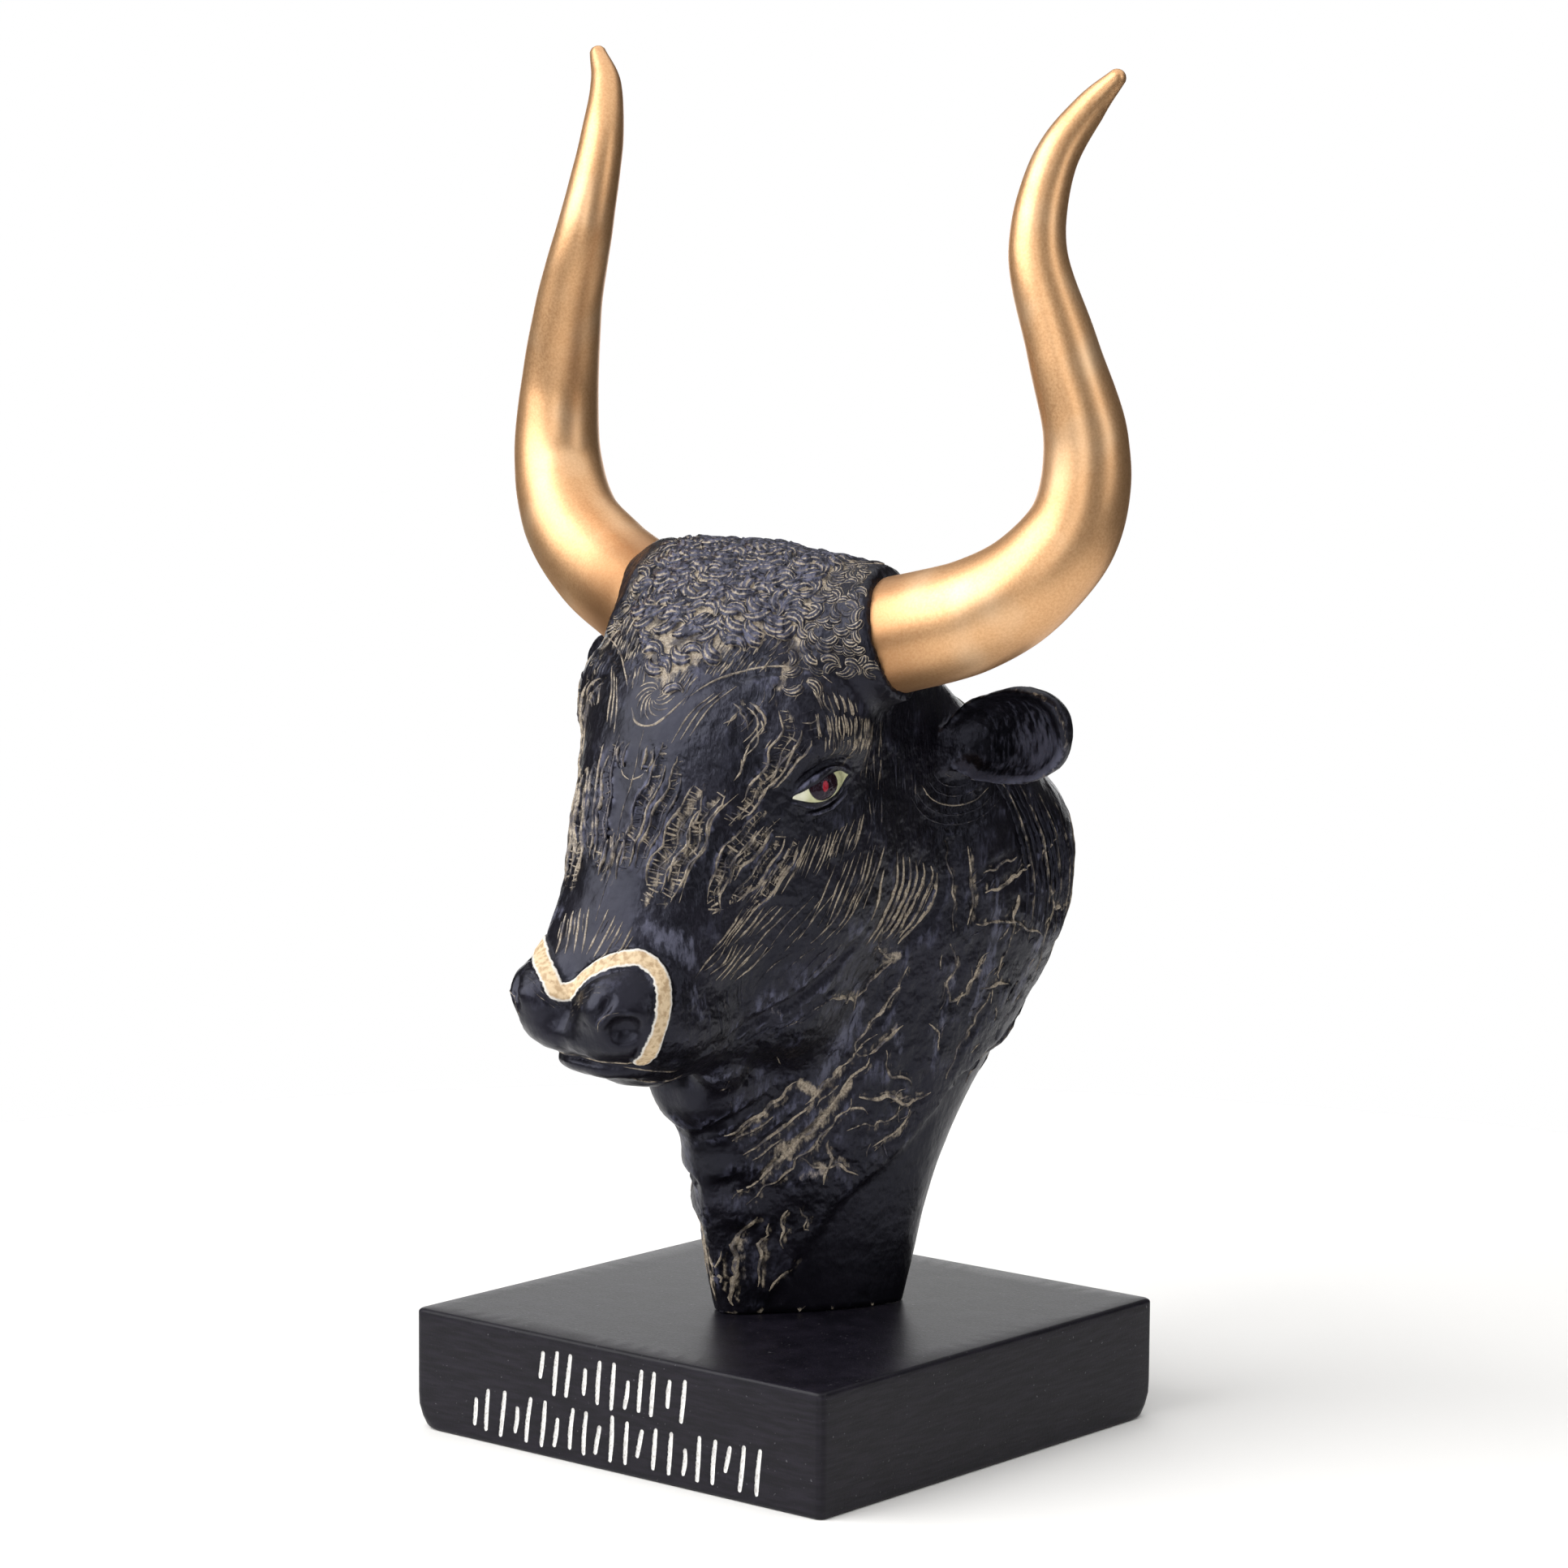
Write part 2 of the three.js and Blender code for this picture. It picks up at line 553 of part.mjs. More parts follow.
// Draws the ends of very short edges together, so that no sliver is left along a cut
function tidied(mesh) {
  const count = mesh.vertProperties.length / mesh.numProp;
  const points = Array.from({ length: count }, (_, i) => new THREE.Vector3(
    ...mesh.vertProperties.slice(i * mesh.numProp, i * mesh.numProp + 3)));
  const home = points.map((_, i) => i);
  const find = (i) => {
    let at = i;
    while (home[at] !== at) at = home[at];
    return at;
  };
  for (let i = 0; i < mesh.triVerts.length; i += 1) {
    const next = i % 3 === 2 ? i - 2 : i + 1;
    const a = find(mesh.triVerts[i]);
    const b = find(mesh.triVerts[next]);
    if (a !== b && points[a].distanceTo(points[b]) < SHORTEST_EDGE) home[Math.max(a, b)] = Math.min(a, b);
  }
  const kept = [];
  for (let i = 0; i < mesh.triVerts.length; i += 3) {
    const [a, b, c] = Array.from(mesh.triVerts.slice(i, i + 3), find);
    if (a !== b && b !== c && c !== a) kept.push([a, b, c]);
  }
  const used = [...new Set(kept.flat())];
  const order = new Map(used.map((old, i) => [old, i]));
  const triangles = kept.map((t) => t.map((i) => order.get(i)));
  return { points: parted(used.map((i) => points[i]), triangles), triangles };
}

// Moves apart points that lie in one place without being joined
function parted(points, triangles) {
  for (const [n, point] of points.entries()) {
    const twin = points.findIndex((other, m) => m < n && other.distanceTo(point) < SHORTEST_EDGE / 4);
    if (twin < 0) continue;
    const around = triangles.filter((t) => t.includes(n)).flat().filter((i) => i !== n);
    const middle = around.reduce((sum, i) => sum.add(points[i]), new THREE.Vector3()).divideScalar(around.length);
    point.addScaledVector(middle.sub(point).normalize(), SHORTEST_EDGE);
  }
  return points;
}

function namedMesh(name, body, color, roughness, metalness) {
  const { points, triangles } = tidied(body.getMesh());
  const geometry = new THREE.BufferGeometry().setFromPoints(points);
  geometry.setIndex(triangles.flat());
  geometry.computeVertexNormals();
  const part = new THREE.Mesh(geometry, new THREE.MeshStandardMaterial({ color, roughness, metalness }));
  part.name = name;
  return part;
}

const root = new THREE.Group();
root.name = 'bull_head_bust';
root.add(namedMesh('plinth', plinthBody(), 0x1c1b20, 0.5, 0));
root.add(namedMesh('bull_head', bustBody(), 0x25232b, 0.45, 0));
root.add(namedMesh('horn_left', hornBody(1, 0), 0xc9975a, 0.35, 1));
root.add(namedMesh('horn_right', hornBody(-1, 0), 0xc9975a, 0.35, 1));

export default root;
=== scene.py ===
"""Bull head bust on a square plinth: a black cast bust with carved hair, and two gold painted horns.

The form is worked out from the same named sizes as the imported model, in millimetres in the bust's own
upright frame, then stood on the plinth and turned to metres. The bull looks towards -Y, +X is its left.
"""
import math

import bmesh
import bpy
import numpy as np
from mathutils import Matrix, Vector, noise


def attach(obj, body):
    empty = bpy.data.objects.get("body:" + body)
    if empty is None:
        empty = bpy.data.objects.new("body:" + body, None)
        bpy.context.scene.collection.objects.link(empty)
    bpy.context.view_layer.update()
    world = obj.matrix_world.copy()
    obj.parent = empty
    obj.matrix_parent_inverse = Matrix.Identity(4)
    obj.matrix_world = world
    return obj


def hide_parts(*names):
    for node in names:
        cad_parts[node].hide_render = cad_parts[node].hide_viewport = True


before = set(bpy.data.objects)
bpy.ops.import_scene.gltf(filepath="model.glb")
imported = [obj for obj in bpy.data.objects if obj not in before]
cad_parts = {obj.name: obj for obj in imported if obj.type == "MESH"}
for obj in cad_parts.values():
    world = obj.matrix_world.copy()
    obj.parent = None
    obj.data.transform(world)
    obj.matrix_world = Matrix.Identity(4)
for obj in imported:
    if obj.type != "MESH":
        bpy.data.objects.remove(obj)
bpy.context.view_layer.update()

MM = 0.001
TINY = 1e-9
SMALL = 1e-6
SEED = 11
random = np.random.default_rng(SEED)

# Plinth
PLINTH_SIDE = 130
PLINTH_HEIGHT = 30
PLINTH_TOP_ROUND = 1
PLINTH_CORNER_ROUND = 2
PLINTH_WORN_ROUND = 6
PLINTH_WORN_HEIGHT = 8
PLINTH_FRONT = -PLINTH_SIDE / 2
CORNER_STEPS = 8
SIDE_STEPS = 20
GAP = 0.3

# Stance of the bust on the plinth
LEAN = math.radians(3)
SHIFT_X = -4
BUST_BOTTOM = PLINTH_HEIGHT + GAP

# Camera, fitted to the corners of the plinth in the photograph
CAMERA_PLACE = (729.148, -872.219, 294.492)
CAMERA_AZIMUTH = math.radians(39.975)
CAMERA_ELEVATION = math.radians(6.768)
CAMERA_ROLL = math.radians(0.389)
CAMERA_LENS = 107.34
CAMERA_SENSOR = 36

# The head's own axis runs from the poll down the face, tilted forward from the vertical
FACE_TILT = math.radians(25)
POLL_Y = -15
POLL_Z = 220

# Neck sections: height, front y, widest y, back y, half width, roundness in front, roundness behind
NECK = np.array([
    [20, -16.5, 18, 25, 24.5, 1.4, 2.2],
    [40, -23.0, 18, 34, 26.5, 1.4, 2.2],
    [55, -27.0, 19, 39, 28.0, 1.4, 2.1],
    [70, -31.0, 21, 46.5, 30.0, 1.45, 2.1],
    [85, -33.0, 25, 57, 32.5, 1.5, 2.1],
    [100, -30.0, 31, 71, 35.5, 1.6, 2.1],
    [115, -26.0, 37, 83, 38.0, 1.75, 2.1],
    [130, -22.0, 41, 89, 40.0, 1.9, 2.1],
    [145, -20.0, 40, 88.5, 40.0, 2.0, 2.1],
    [156, -18.0, 36, 82, 38.5, 2.0, 2.1],
    [168, -16.0, 26, 64, 36.0, 2.0, 2.1],
    [180, -14.0, 14, 41, 33.0, 2.0, 2.1],
    [192, -12.0, 5, 25, 30.0, 2.0, 2.0],
    [204, -10.0, -2, 12, 26.0, 2.0, 2.0],
])

# Head sections: distance down the face, face line, widest place, throat line, half width, two roundnesses
HEAD = np.array([
    [6, 5.0, -10, -34, 33.0, 2.3, 2.2],
    [18, 14.0, -12, -42, 35.0, 2.4, 2.2],
    [32, 19.5, -12, -50, 35.5, 2.4, 2.2],
    [46, 21.5, -12, -56, 35.0, 2.4, 2.2],
    [60, 21.5, -14, -58, 33.5, 2.35, 2.2],
    [75, 19.5, -14, -57, 30.0, 2.3, 2.2],
    [90, 17.0, -12, -50, 26.5, 2.3, 2.2],
    [105, 15.8, -6, -38, 24.0, 2.4, 2.2],
    [114, 15.5, -1, -27, 22.5, 2.4, 2.2],
    [122, 13.5, 0, -20, 19.5, 2.3, 2.2],
    [128, 10.0, 0, -16, 14.0, 2.2, 2.2],
])

SECTION_END_BLEND = 6
THROAT_BLEND = 12

# Bars in the head: two ends, the radius at each, and the width of the blend
POLL_BAR = ((0, -14, 204), (29, -15.5, 202.5), 15.5, 15)
POLL_BLEND = 8
JAW_BAR = ((6, -56, 103.5), (15.5, -22, 110), 7.5, 12)
JAW_BLEND = 12

# Rounded forms of the head, on its left side: centre, half sizes, tilt in degrees, width of the blend
BROW = ((27, -31, 181), (13, 13.5, 14), 0, 8)
CHEEK = ((20, -14, 142), (15.5, 22, 30), -22, 14)
EYE_SOCKET = ((39.5, -34.5, 167.5), (4.5, 9.5, 6), 20, 4)
EYEBALL = ((31, -33, 167.6), (6.8, 7.8, 5.2), 20, 1)
NOSE_LOBE = ((10.5, -71, 114.8), (11.5, 14, 9.5), 0, 5)
UPPER_LIP = ((4, -68, 107.5), (15, 14.5, 6), 0, 5)
LIP_SIDE = ((15, -58.5, 110), (8.5, 11, 7.5), 0, 6)
LOWER_LIP = ((2, -63.5, 99.6), (12, 11.5, 3.8), 0, 1.6)
CHIN = ((0, -57, 96.8), (9, 7.5, 4.2), 0, 2)
NOSTRIL = ((18.2, -80.6, 111.4), (4.2, 4.2, 3.8), 0, 2)
THROAT = ((3, -32, 90.5), (9.5, 11, 11), 0, 3)
THROAT_SIDE = ((11, -38, 97), (6, 7, 6), 0, 3)
DEWLAP_FOLDS = (((3, -21, 71), (8, 9.5, 9.5), 0, 3), ((4, -17.5, 58.5), (7, 8, 6), 0, 3))

# Grooves cut into the muzzle
MOUTH_LINE = [(0, -86, 103), (10, -81, 102.6), (17, -71, 102), (21, -60, 101.8), (23, -52, 105.5)]
MOUTH_RADIUS = 1.3
MOUTH_BLEND = 1.6
NOSTRIL_SLIT = [(14.8, -82.6, 119.2), (13.8, -83.9, 115.8), (12.6, -85.6, 113.4)]
NOSTRIL_SLIT_RADIUS = 0.8
NOSTRIL_SLIT_BLEND = 1.6

# Lower edge of the modelled skin of the neck: y and height; below it the stem is plain and steps back
SKIN_EDGE_Y = [-17, -11, -2, 5, 14, 28, 38, 60]
SKIN_EDGE_Z = [26, 42.6, 59.8, 66, 73.5, 88.5, 93, 98]
SKIN_STEP = 1.3
SKIN_STEP_WIDTH = 1.2

# Horn stations: x, y, z of the centre line and the radius, from the brow to the tip
HORN = [
    [39, -15, 202, 13.8],
    [58, -10, 208.5, 13.4],
    [72.3, -7, 218, 12.2],
    [81.4, -3, 232, 11.0],
    [82.5, -2.3, 250, 9.9],
    [77, -6, 272, 8.3],
    [70, -8.3, 294, 6.8],
    [70, -4, 314, 5.3],
    [75, 2, 327, 3.8],
    [80.3, 4.6, 334, 2.2],
]
HORN_ROOT_DEPTH = 10
HORN_SIDES = 56
HORN_STEPS_PER_SPAN = 14
HORN_TIP_ANGLES = (0.35, 0.7, 1.05, 1.35)
HORN_TIP_LENGTH = 0.95
HORN_LUMP_SIZE = 17
HORN_LUMP_HEIGHT = 0.16

# Horn seat: a collar round each horn, cut square to it, and cut slanting on the bull's right side
COLLAR_RADIUS = 15.6
COLLAR_LENGTH = 14
COLLAR_REACH = 12
COLLAR_EDGE_BLEND = 1.2
SEAT_BLEND = 4
SEAT = np.array([39.0, -15.0, 202.0])
SLANT_POINT = np.array([33.4, -14.0, 215.8])

# Ears
EAR_ROOT = np.array([33.0, 13.0, 171.5])
EAR_TIP = np.array([73.0, 9.0, 181.5])
EAR_FACING = np.array([0.28, -0.93, -0.12])
EAR_HALF_LENGTH = 21
EAR_HALF_HEIGHT = 11.8
EAR_RAISE = 0.5
EAR_WIDENING = 0.12
EAR_BOW = 1.2
EAR_ROOT_BLEND = 3
RIGHT_EAR_STRETCH = 1.07
RIGHT_EAR_SWING = 0.1
# Ear section from the middle to the rim: share of the outline, depth of the back, depth of the cup
EAR_SHARE = [0.0, 0.4, 0.66, 0.8, 0.88, 0.95, 1.02]
EAR_BACK = [-8.8, -8.2, -7.0, -6.0, -5.2, -4.0, -2.0]
EAR_CUP = [-6.3, -5.6, -4.0, -1.5, 0.6, 1.2, 0.4]
EAR_CUP_SHIFT = 4
EAR_CUP_EDGE = 0.84
EAR_SPACE_DEPTH = 5
EAR_EDGE_SLOPE = 12
EAR_BACK_BLEND = 2.2
EAR_CUP_BLEND = 1.8
EAR_SPACE_BLEND = 2.0
EAR_BLEND = 1.5
EAR_RIM_BLEND = 1.2
# Cream along the front of the ear's rim, partly a painted highlight
EAR_RIM_CREAM_AND_HIGHLIGHT = 0.42
# Inner side, foot and top of the box round the left ear, outside which no ear is worked out
EAR_BOX = (28, 155, 205)

# Eye, as places on the bull's left side seen square from that side: y and z
EYE_INNER_Y, EYE_OUTER_Y = -41.5, -25.4
UPPER_LID = [(-41.5, 164.3), (-38.5, 167.7), (-34, 170.2), (-29.5, 170.8), (-25.4, 169.4)]
LOWER_LID = [(-41.5, 164.3), (-37.5, 163.4), (-33.5, 163.8), (-29, 165.6), (-25.4, 169.4)]
IRIS_CENTRE = np.array([36.6, -35.6, 167.9])
IRIS_AXIS = np.array([0.8, -0.59, 0.1])
GAZE_REACH = 14
GAZE_FAR = 9.0

# Grid that the bust is meshed on: low and high end along each axis, and the stretches round the ears
GRID = ((-80, 80, ((-80, -35), (35, 80))), (-96, 100, ((-4, 24),)), (18, 226, ((160, 194),)))
SKIN_SPACING = 2.3
EAR_SPACING = 1.25
# Planes of the grid worked out at a time, and the corners of one of its cells
GRID_SLAB = 8
CORNERS = [(i, j, k) for i in (0, 1) for j in (0, 1) for k in (0, 1)]
SLOPE_STEP = 0.15
LONGEST_MOVE = 1.0
CUT_SNAP = 0.02

# Places where the mesh closes up: centre, radius of the place, edge length there
FINE_PLACES = [
    ((37, -33.5, 167.5), 9, 0.6),
    ((17, -81, 112), 8, 1.0),
    ((10, -76, 101), 11, 1.3),
    ((20, -60, 102), 8, 1.3),
]
CARVED_EDGE = 2.3
PLAIN_EDGE = 3.6
BAND_EDGE = 0.85
COLLAR_EDGE = 1.25

# Low unevenness of the cast skin
SKIN_LUMP_SIZE = 9
SKIN_LUMP_HEIGHT = 0.45

# A stroke of the carving is drawn flat in one of these views and laid on the skin.
# Each view has its two axes, a place outside the bust and the way in; side is seen from the left.
VIEWS = {
    "side": (np.array([[0, 1, 0], [0, 0, 1]]), np.array([90.0, 0, 0]), np.array([-1.0, 0, 0])),
    "front": (np.array([[1, 0, 0], [0, 0, 1]]), np.array([0, -120.0, 0]), np.array([0, 1.0, 0])),
    "back": (np.array([[1, 0, 0], [0, 0, 1]]), np.array([0, 120.0, 0]), np.array([0, -1.0, 0])),
}
STROKE_STEP = 0.8
# A stroke's point that ends farther from the skin than this has missed it
LANDED_WITHIN = 0.6
# A stroke is broken where it jumps farther than this
LONGEST_JUMP = 3.5
BOTH, LEFT, RIGHT = 0, 1, -1

# Columns of the tables of laid lines: ends of a short stretch, half widths, depths, cream, and haze with
# painted highlight
START, END = slice(0, 3), slice(3, 6)
HALF, DEPTH = slice(6, 8), slice(8, 10)
CREAM, HAZE_AND_HIGHLIGHT = 10, 11
# The mesh is searched along pieces of line of at most this many stretches
LINE_PIECE = 9
WIDE_PIECE = 12

# A rib is this far sunk in the skin at its edges
RIB_SINK = 0.2
RIB_STEP = 1.15

# Locks of hair
LOCK_DEPTH = 0.7
LOCK_EDGE_HEIGHT = 0.6
LOCK_RIB_HEIGHT = 0.42

# Cracks over the side of the neck, as lines in the side view
NECK_CRACKS = [
    [(-20, 114), (-14, 113.4), (-8, 111)],
    [(-8, 111), (-3, 117), (2.4, 121.6)],
    [(2.4, 121.6), (-2, 122.4), (-7, 126.4)],
    [(6, 119), (2, 110), (-3, 103), (-5, 98.4), (-1, 97)],
    [(-1, 97), (3, 100), (7, 104)],
    [(3.4, 98), (4, 92.6), (9, 90.4), (12, 88)],
    [(-2, 86.4), (5, 86.2), (12, 83.6), (18, 86)],
    [(12, 83.6), (6, 80), (-4, 78)],
    [(12.4, 82), (8.6, 76), (3, 73.4)],
    [(17, 124), (20, 118), (18.4, 113), (20.4, 109), (23.4, 111)],
    [(28.4, 119.4), (25, 113), (22, 108)],
    [(24, 128.4), (31, 128), (38, 127), (44, 125.4), (51, 122.6)],
    [(38, 127), (38.4, 134.4)],
    [(38, 127), (36, 120), (33, 114.6)],
    [(29, 111.6), (34, 111), (40, 111.4)],
    [(33, 110), (28, 103), (25, 97), (22.4, 89)],
    [(20, 148), (21, 140), (22.4, 133), (21.4, 128.4)],
    [(25, 141), (31, 142.6), (37, 144)],
    [(26, 136), (34, 138), (43, 141.6)],
    [(13, 150), (15, 141), (17, 134), (17.6, 127)],
    [(-14, 71.6), (-9, 68.6), (-4, 68.8), (0.6, 66.4)],
    [(-8, 76), (-6.4, 70), (-7.4, 64.4)],
    [(-11.6, 58.6), (-10, 55.4), (-8.6, 52.6)],
    [(14, 104), (17.6, 101), (18, 96.6)],
    [(52, 137), (56, 130), (63, 127.4), (70, 129)],
    [(56, 130), (53, 121), (55, 113)],
    [(63, 119), (69, 112.4), (66, 106)],
]

# Soft blue-grey and cream patches: line in the side view, width, cream, and haze with painted highlight
SMUDGES = [
    [[(-5, 110), (-9, 103), (-10, 96), (-12, 90)], 8, 0.0, 0.8],
    [[(20, 119), (19, 109)], 4, 0.3, 0.7],
    [[(5, 104), (7.5, 97)], 5, 0.2, 0.7],
    [[(-13, 66), (-4, 70)], 6, 0.45, 0.6],
    [[(-70, 134), (-62, 126)], 12, 0.0, 0.7],
    [[(-64, 121), (-60, 113)], 9, 0.1, 0.6],
    [[(-17, 91), (-12, 87.6)], 5, 0.75, 0.0],
    [[(18, 107), (17, 94)], 4, 0.2, 0.6],
    [[(-12, 118), (-7, 113)], 5, 0.1, 0.6],
    [[(-38, 113), (-32, 110)], 5, 0.3, 0.4],
    # Painted highlight on the lobe under the jaw
    [[(-46, 94), (-36, 98)], 5, 0.1, 0.7],
    [[(-3, 124), (4, 121)], 5, 0.6, 0.3],
    [[(-4, 90), (-9, 83), (-15, 76), (-21, 68)], 6, 0.6, 0.0],
    [[(-22, 60), (-21, 50), (-20, 40)], 6, 0.3, 0.5],
    [[(30, 140), (31, 120), (27, 104)], 7, 0.0, 0.7],
    [[(46, 136), (50, 120), (44, 106)], 8, 0.0, 0.6],
    [[(62, 130), (64, 116)], 8, 0.2, 0.5],
]
FLECKS = 70

# Folds from the jaw down to the chest: line in the side view, width
CHEST_FOLDS = [
    [[(0, 97), (-5.5, 88.5), (-8.4, 82.5), (-12.8, 77.2), (-17, 71.7), (-21, 66.7), (-25, 62)], 5.0],
    [[(-15, 92.6), (-23, 84.6), (-31, 78.6)], 4.2],
    [[(-13, 86), (-20, 78.6), (-26, 73.6)], 3.0],
    [[(-2, 100), (-9, 92), (-14, 86)], 3.0],
]

# Upright grooves at the foot of the skin: line in the side view, width
FOOT_GROOVES = [
    [[(-20.6, 56.6), (-22.6, 50), (-20.8, 41), (-19.4, 32.6)], 1.7],
    [[(-17.4, 54.6), (-17.4, 47), (-16.6, 38)], 1.1],
    [[(-14, 58), (-14.6, 52), (-13.4, 48)], 0.9],
    [[(-9.6, 45), (-12, 41), (-14.4, 37)], 0.9],
    [[(-24, 47), (-23.4, 41), (-22, 36)], 0.7],
]

# Curls between the horns: bent pointed tufts of a few strands, in uneven overlapping rows over the poll
TUFT_SPACING = 3.7
TUFT_ROW_SPACING = 2.9
TUFT_LENGTH = 8.4
TUFT_HALF_WIDTH = 2.05
TUFT_HEIGHT = 1.5
TUFT_BEND = 2.4
TUFT_ROWS, TUFT_COLUMNS = 8, 7
TUFT_CLEARANCE = 1.4
TUFTS_TURNED = 0.35
POLL_AXIS = np.array([0.0, -15.0, 199.0])
POLL_RADIUS = 24
CURLS_START, CURLS_END = math.radians(6), math.radians(160)
CURLS_HALF_WIDTH = 43
ROWS_DOWN_FOREHEAD = 8
CURL_BED_DEPTH = 0.4
CURL_BED_CREAM = 0.62

# The pale band over the nose and down beside the nostrils: its dip is a little off the middle
BAND_LINE = [
    (-3, -81, 117.6), (-0.2, -79.8, 118.2), (4.4, -78.1, 122.2), (8.1, -76.2, 125.2),
    (12, -73.6, 126.6), (14.8, -71.8, 126.6), (17.7, -70.6, 124.2), (20, -71.2, 120.4),
    (21.7, -72.5, 116), (21.5, -73.1, 111.5), (19.6, -73.1, 106.8), (15.6, -71.2, 102.6),
]
BAND_MIDDLE = -3
BAND_HALF_WIDTH = 2.3
BAND_FAR = 9.0
BAND_HEIGHT = 0.45
BAND_SIDE_DEPTH = 0.35

# Rows of cuts on the front face: first and last x, foot, height, number of cuts
MARK_ROWS = ((-22.5, 22.5, 16.0, 10.2, 11), (-45, 45.5, 3.0, 10.2, 21))
MARK_HALF_WIDTH = 0.7
MARK_DEPTH = 0.45
MARK_FAR = 3.0
MARK_EDGE = 0.42
FRONT_EDGE = 4.0
BLOCK_EDGE = 9.0

# Paint colours
RESIN_BLACK = "#08070b"
RESIN_BLACK_THIN = "#121016"
# Rubbed blue-grey of the crests, also a painted highlight on them
RUBBED_AND_HIGHLIT_CREST = "#64657a"
# Blue-grey haze, in places a painted highlight
GREY_HAZE_AND_HIGHLIGHT = "#6a6b7d"
LACQUER_TINT = "#dfe2ff"
CREAM_PALE = "#c4b7a2"
CREAM_DARK = "#8d7f6d"
OCHRE_DARK = "#b19673"
OCHRE_PALE = "#d6bf9c"
BAND_RIM = "#d9d5cd"
EYE_WHITE = "#c6c69c"
# Whiter inner corner of the eye: a painted highlight
EYE_CORNER_HIGHLIGHT = "#dcdbc2"
IRIS = "#1d0e14"
PUPIL = "#96202c"
GOLD_DARK = "#d6a475"
GOLD_BRIGHT = "#e3b687"
GOLD_PALE = "#f6dcb8"
# Browner gold towards the root of the horn
GOLD_ROOT_BROWN = "#8a5c36"
WOOD_BLACK = "#0c0a12"
WOOD_BLACK_THIN = "#19161f"
DUST = "#8c8a90"
CUT_GREY = "#b9b6b4"
CUT_WHITE = "#ecebe8"
BOARD_WHITE = "#f2f1ef"

# Noise scale whose lumps are a millimetre across
PER_MM = 1000.0
SMOOTH = "SMOOTHSTEP"
# Sockets of the Mix node for colours: share of the colour over the other, both colours and the result
SHARE, UNDER, OVER, MIXED = 0, 6, 7, 2

# Studio: place, width and height in metres, and watts of each lamp
STUDIO_MIDDLE = (0, 0, 0.17)
LAMPS = (
    ("key", (-0.55, -1.05, 0.9), (1.6, 1.3), 29),
    ("side", (1.2, 0.15, 0.55), (0.35, 0.9), 3),
    ("front", (0.75, -1.3, 0.35), (0.5, 0.8), 4),
    ("back", (-0.96, 1.15, 0.24), (1.2, 0.4), 4),
    ("top", (0, 0, 2.4), (5.0, 5.0), 90),
)
# The room beyond the lamps is dimmer than the white that the camera sees behind the piece
ROOM_LIGHT = 0.05
FLOOR_RADIUS = 0.46


def unit(vector):
    """The vector at length 1."""
    return vector / np.linalg.norm(vector)


HORN_DIRECTION = unit(np.array([9.0, 3.0, 3.0]))
SLANT_NORMAL = unit(np.array([0.84, -0.35, 0.42]))


# Forms that are blended into the bust

def blend(a, b, width):
    """The lesser of two distances, rounded off where they meet."""
    share = np.clip(0.5 + 0.5 * (b - a) / width, 0, 1)
    return b + (a - b) * share - width * share * (1 - share)


def blend_high(a, b, width):
    """The greater of two distances, rounded off where they meet."""
    return -blend(-a, -b, width)


def carve(a, b, width):
    """The body a with b cut out of it, the edge rounded."""
    return blend_high(a, -b, width)


def mirrored(points):
    """The points with those on the bull's right side moved to its left side."""
    return np.abs(points) * [1, 0, 0] + points * [0, 1, 1]


def unit_rows(vectors):
    """Each row of the table at length 1."""
    return vectors / (np.linalg.norm(vectors, axis=1)[:, None] + TINY)


def column(table, u, number):
    """One column of a table of sections, smoothly interpolated at u."""
    at, value = table[:, 0], table[:, number]
    slope = np.gradient(value, at)
    i = np.clip(np.searchsorted(at, u) - 1, 0, len(at) - 2)
    width = at[i + 1] - at[i]
    s = np.clip((u - at[i]) / width, 0, 1)
    rise = s * s * (3 - 2 * s)
    lead = s * (1 - s) ** 2 * width * slope[i]
    tail = s * s * (s - 1) * width * slope[i + 1]
    return value[i] + (value[i + 1] - value[i]) * rise + lead + tail


def section_body(table, u, v, x):
    """Distance to a body given by sections along u; v runs from back to front, x is sideways."""
    front, widest, back, half_width, round_front, round_back = (column(table, u, n) for n in range(1, 7))
    in_front = (front - widest) * (v - widest) > 0
    half_depth = np.abs(np.where(in_front, front, back) - widest)
    power = np.where(in_front, round_front, round_back)
    ex = x / half_width
    ey = np.abs(v - widest) / half_depth
    reach = (ex ** power + ey ** power + TINY) ** (1 / power)
    radius = (np.hypot(ex, ey) + SMALL) / (np.hypot(ex / half_width, ey / half_depth) + SMALL)
    beyond = np.maximum(table[0, 0] - u, u - table[-1, 0])
    return blend_high((reach - 1) * radius, beyond, SECTION_END_BLEND)


def ellipsoid(p, centre, radii, tilt):
    """Distance to an ellipsoid whose far end is tipped up by tilt degrees."""
    angle = math.radians(tilt)
    x, dy, dz = (p - np.array(centre, float)).T
    y = dy * math.cos(angle) + dz * math.sin(angle)
    z = -dy * math.sin(angle) + dz * math.cos(angle)
    rx, ry, rz = radii
    near = np.sqrt((x / rx) ** 2 + (y / ry) ** 2 + (z / rz) ** 2) + TINY
    slope = np.sqrt((x / rx ** 2) ** 2 + (y / ry ** 2) ** 2 + (z / rz ** 2) ** 2) + TINY
    return near * (near - 1) / slope


def bar(p, a, b, radius_a, radius_b):
    """Distance to a rounded bar from a to b."""
    a, b = np.array(a, float), np.array(b, float)
    along = b - a
    s = np.clip((p - a) @ along / (along @ along), 0, 1)
    return np.linalg.norm(p - a - s[:, None] * along, axis=1) - (radius_a + (radius_b - radius_a) * s)


def chain(p, points, radius):
    """Distance to a chain of bars of one radius."""
    return np.min([bar(p, a, b, radius, radius) for a, b in zip(points, points[1:])], axis=0)


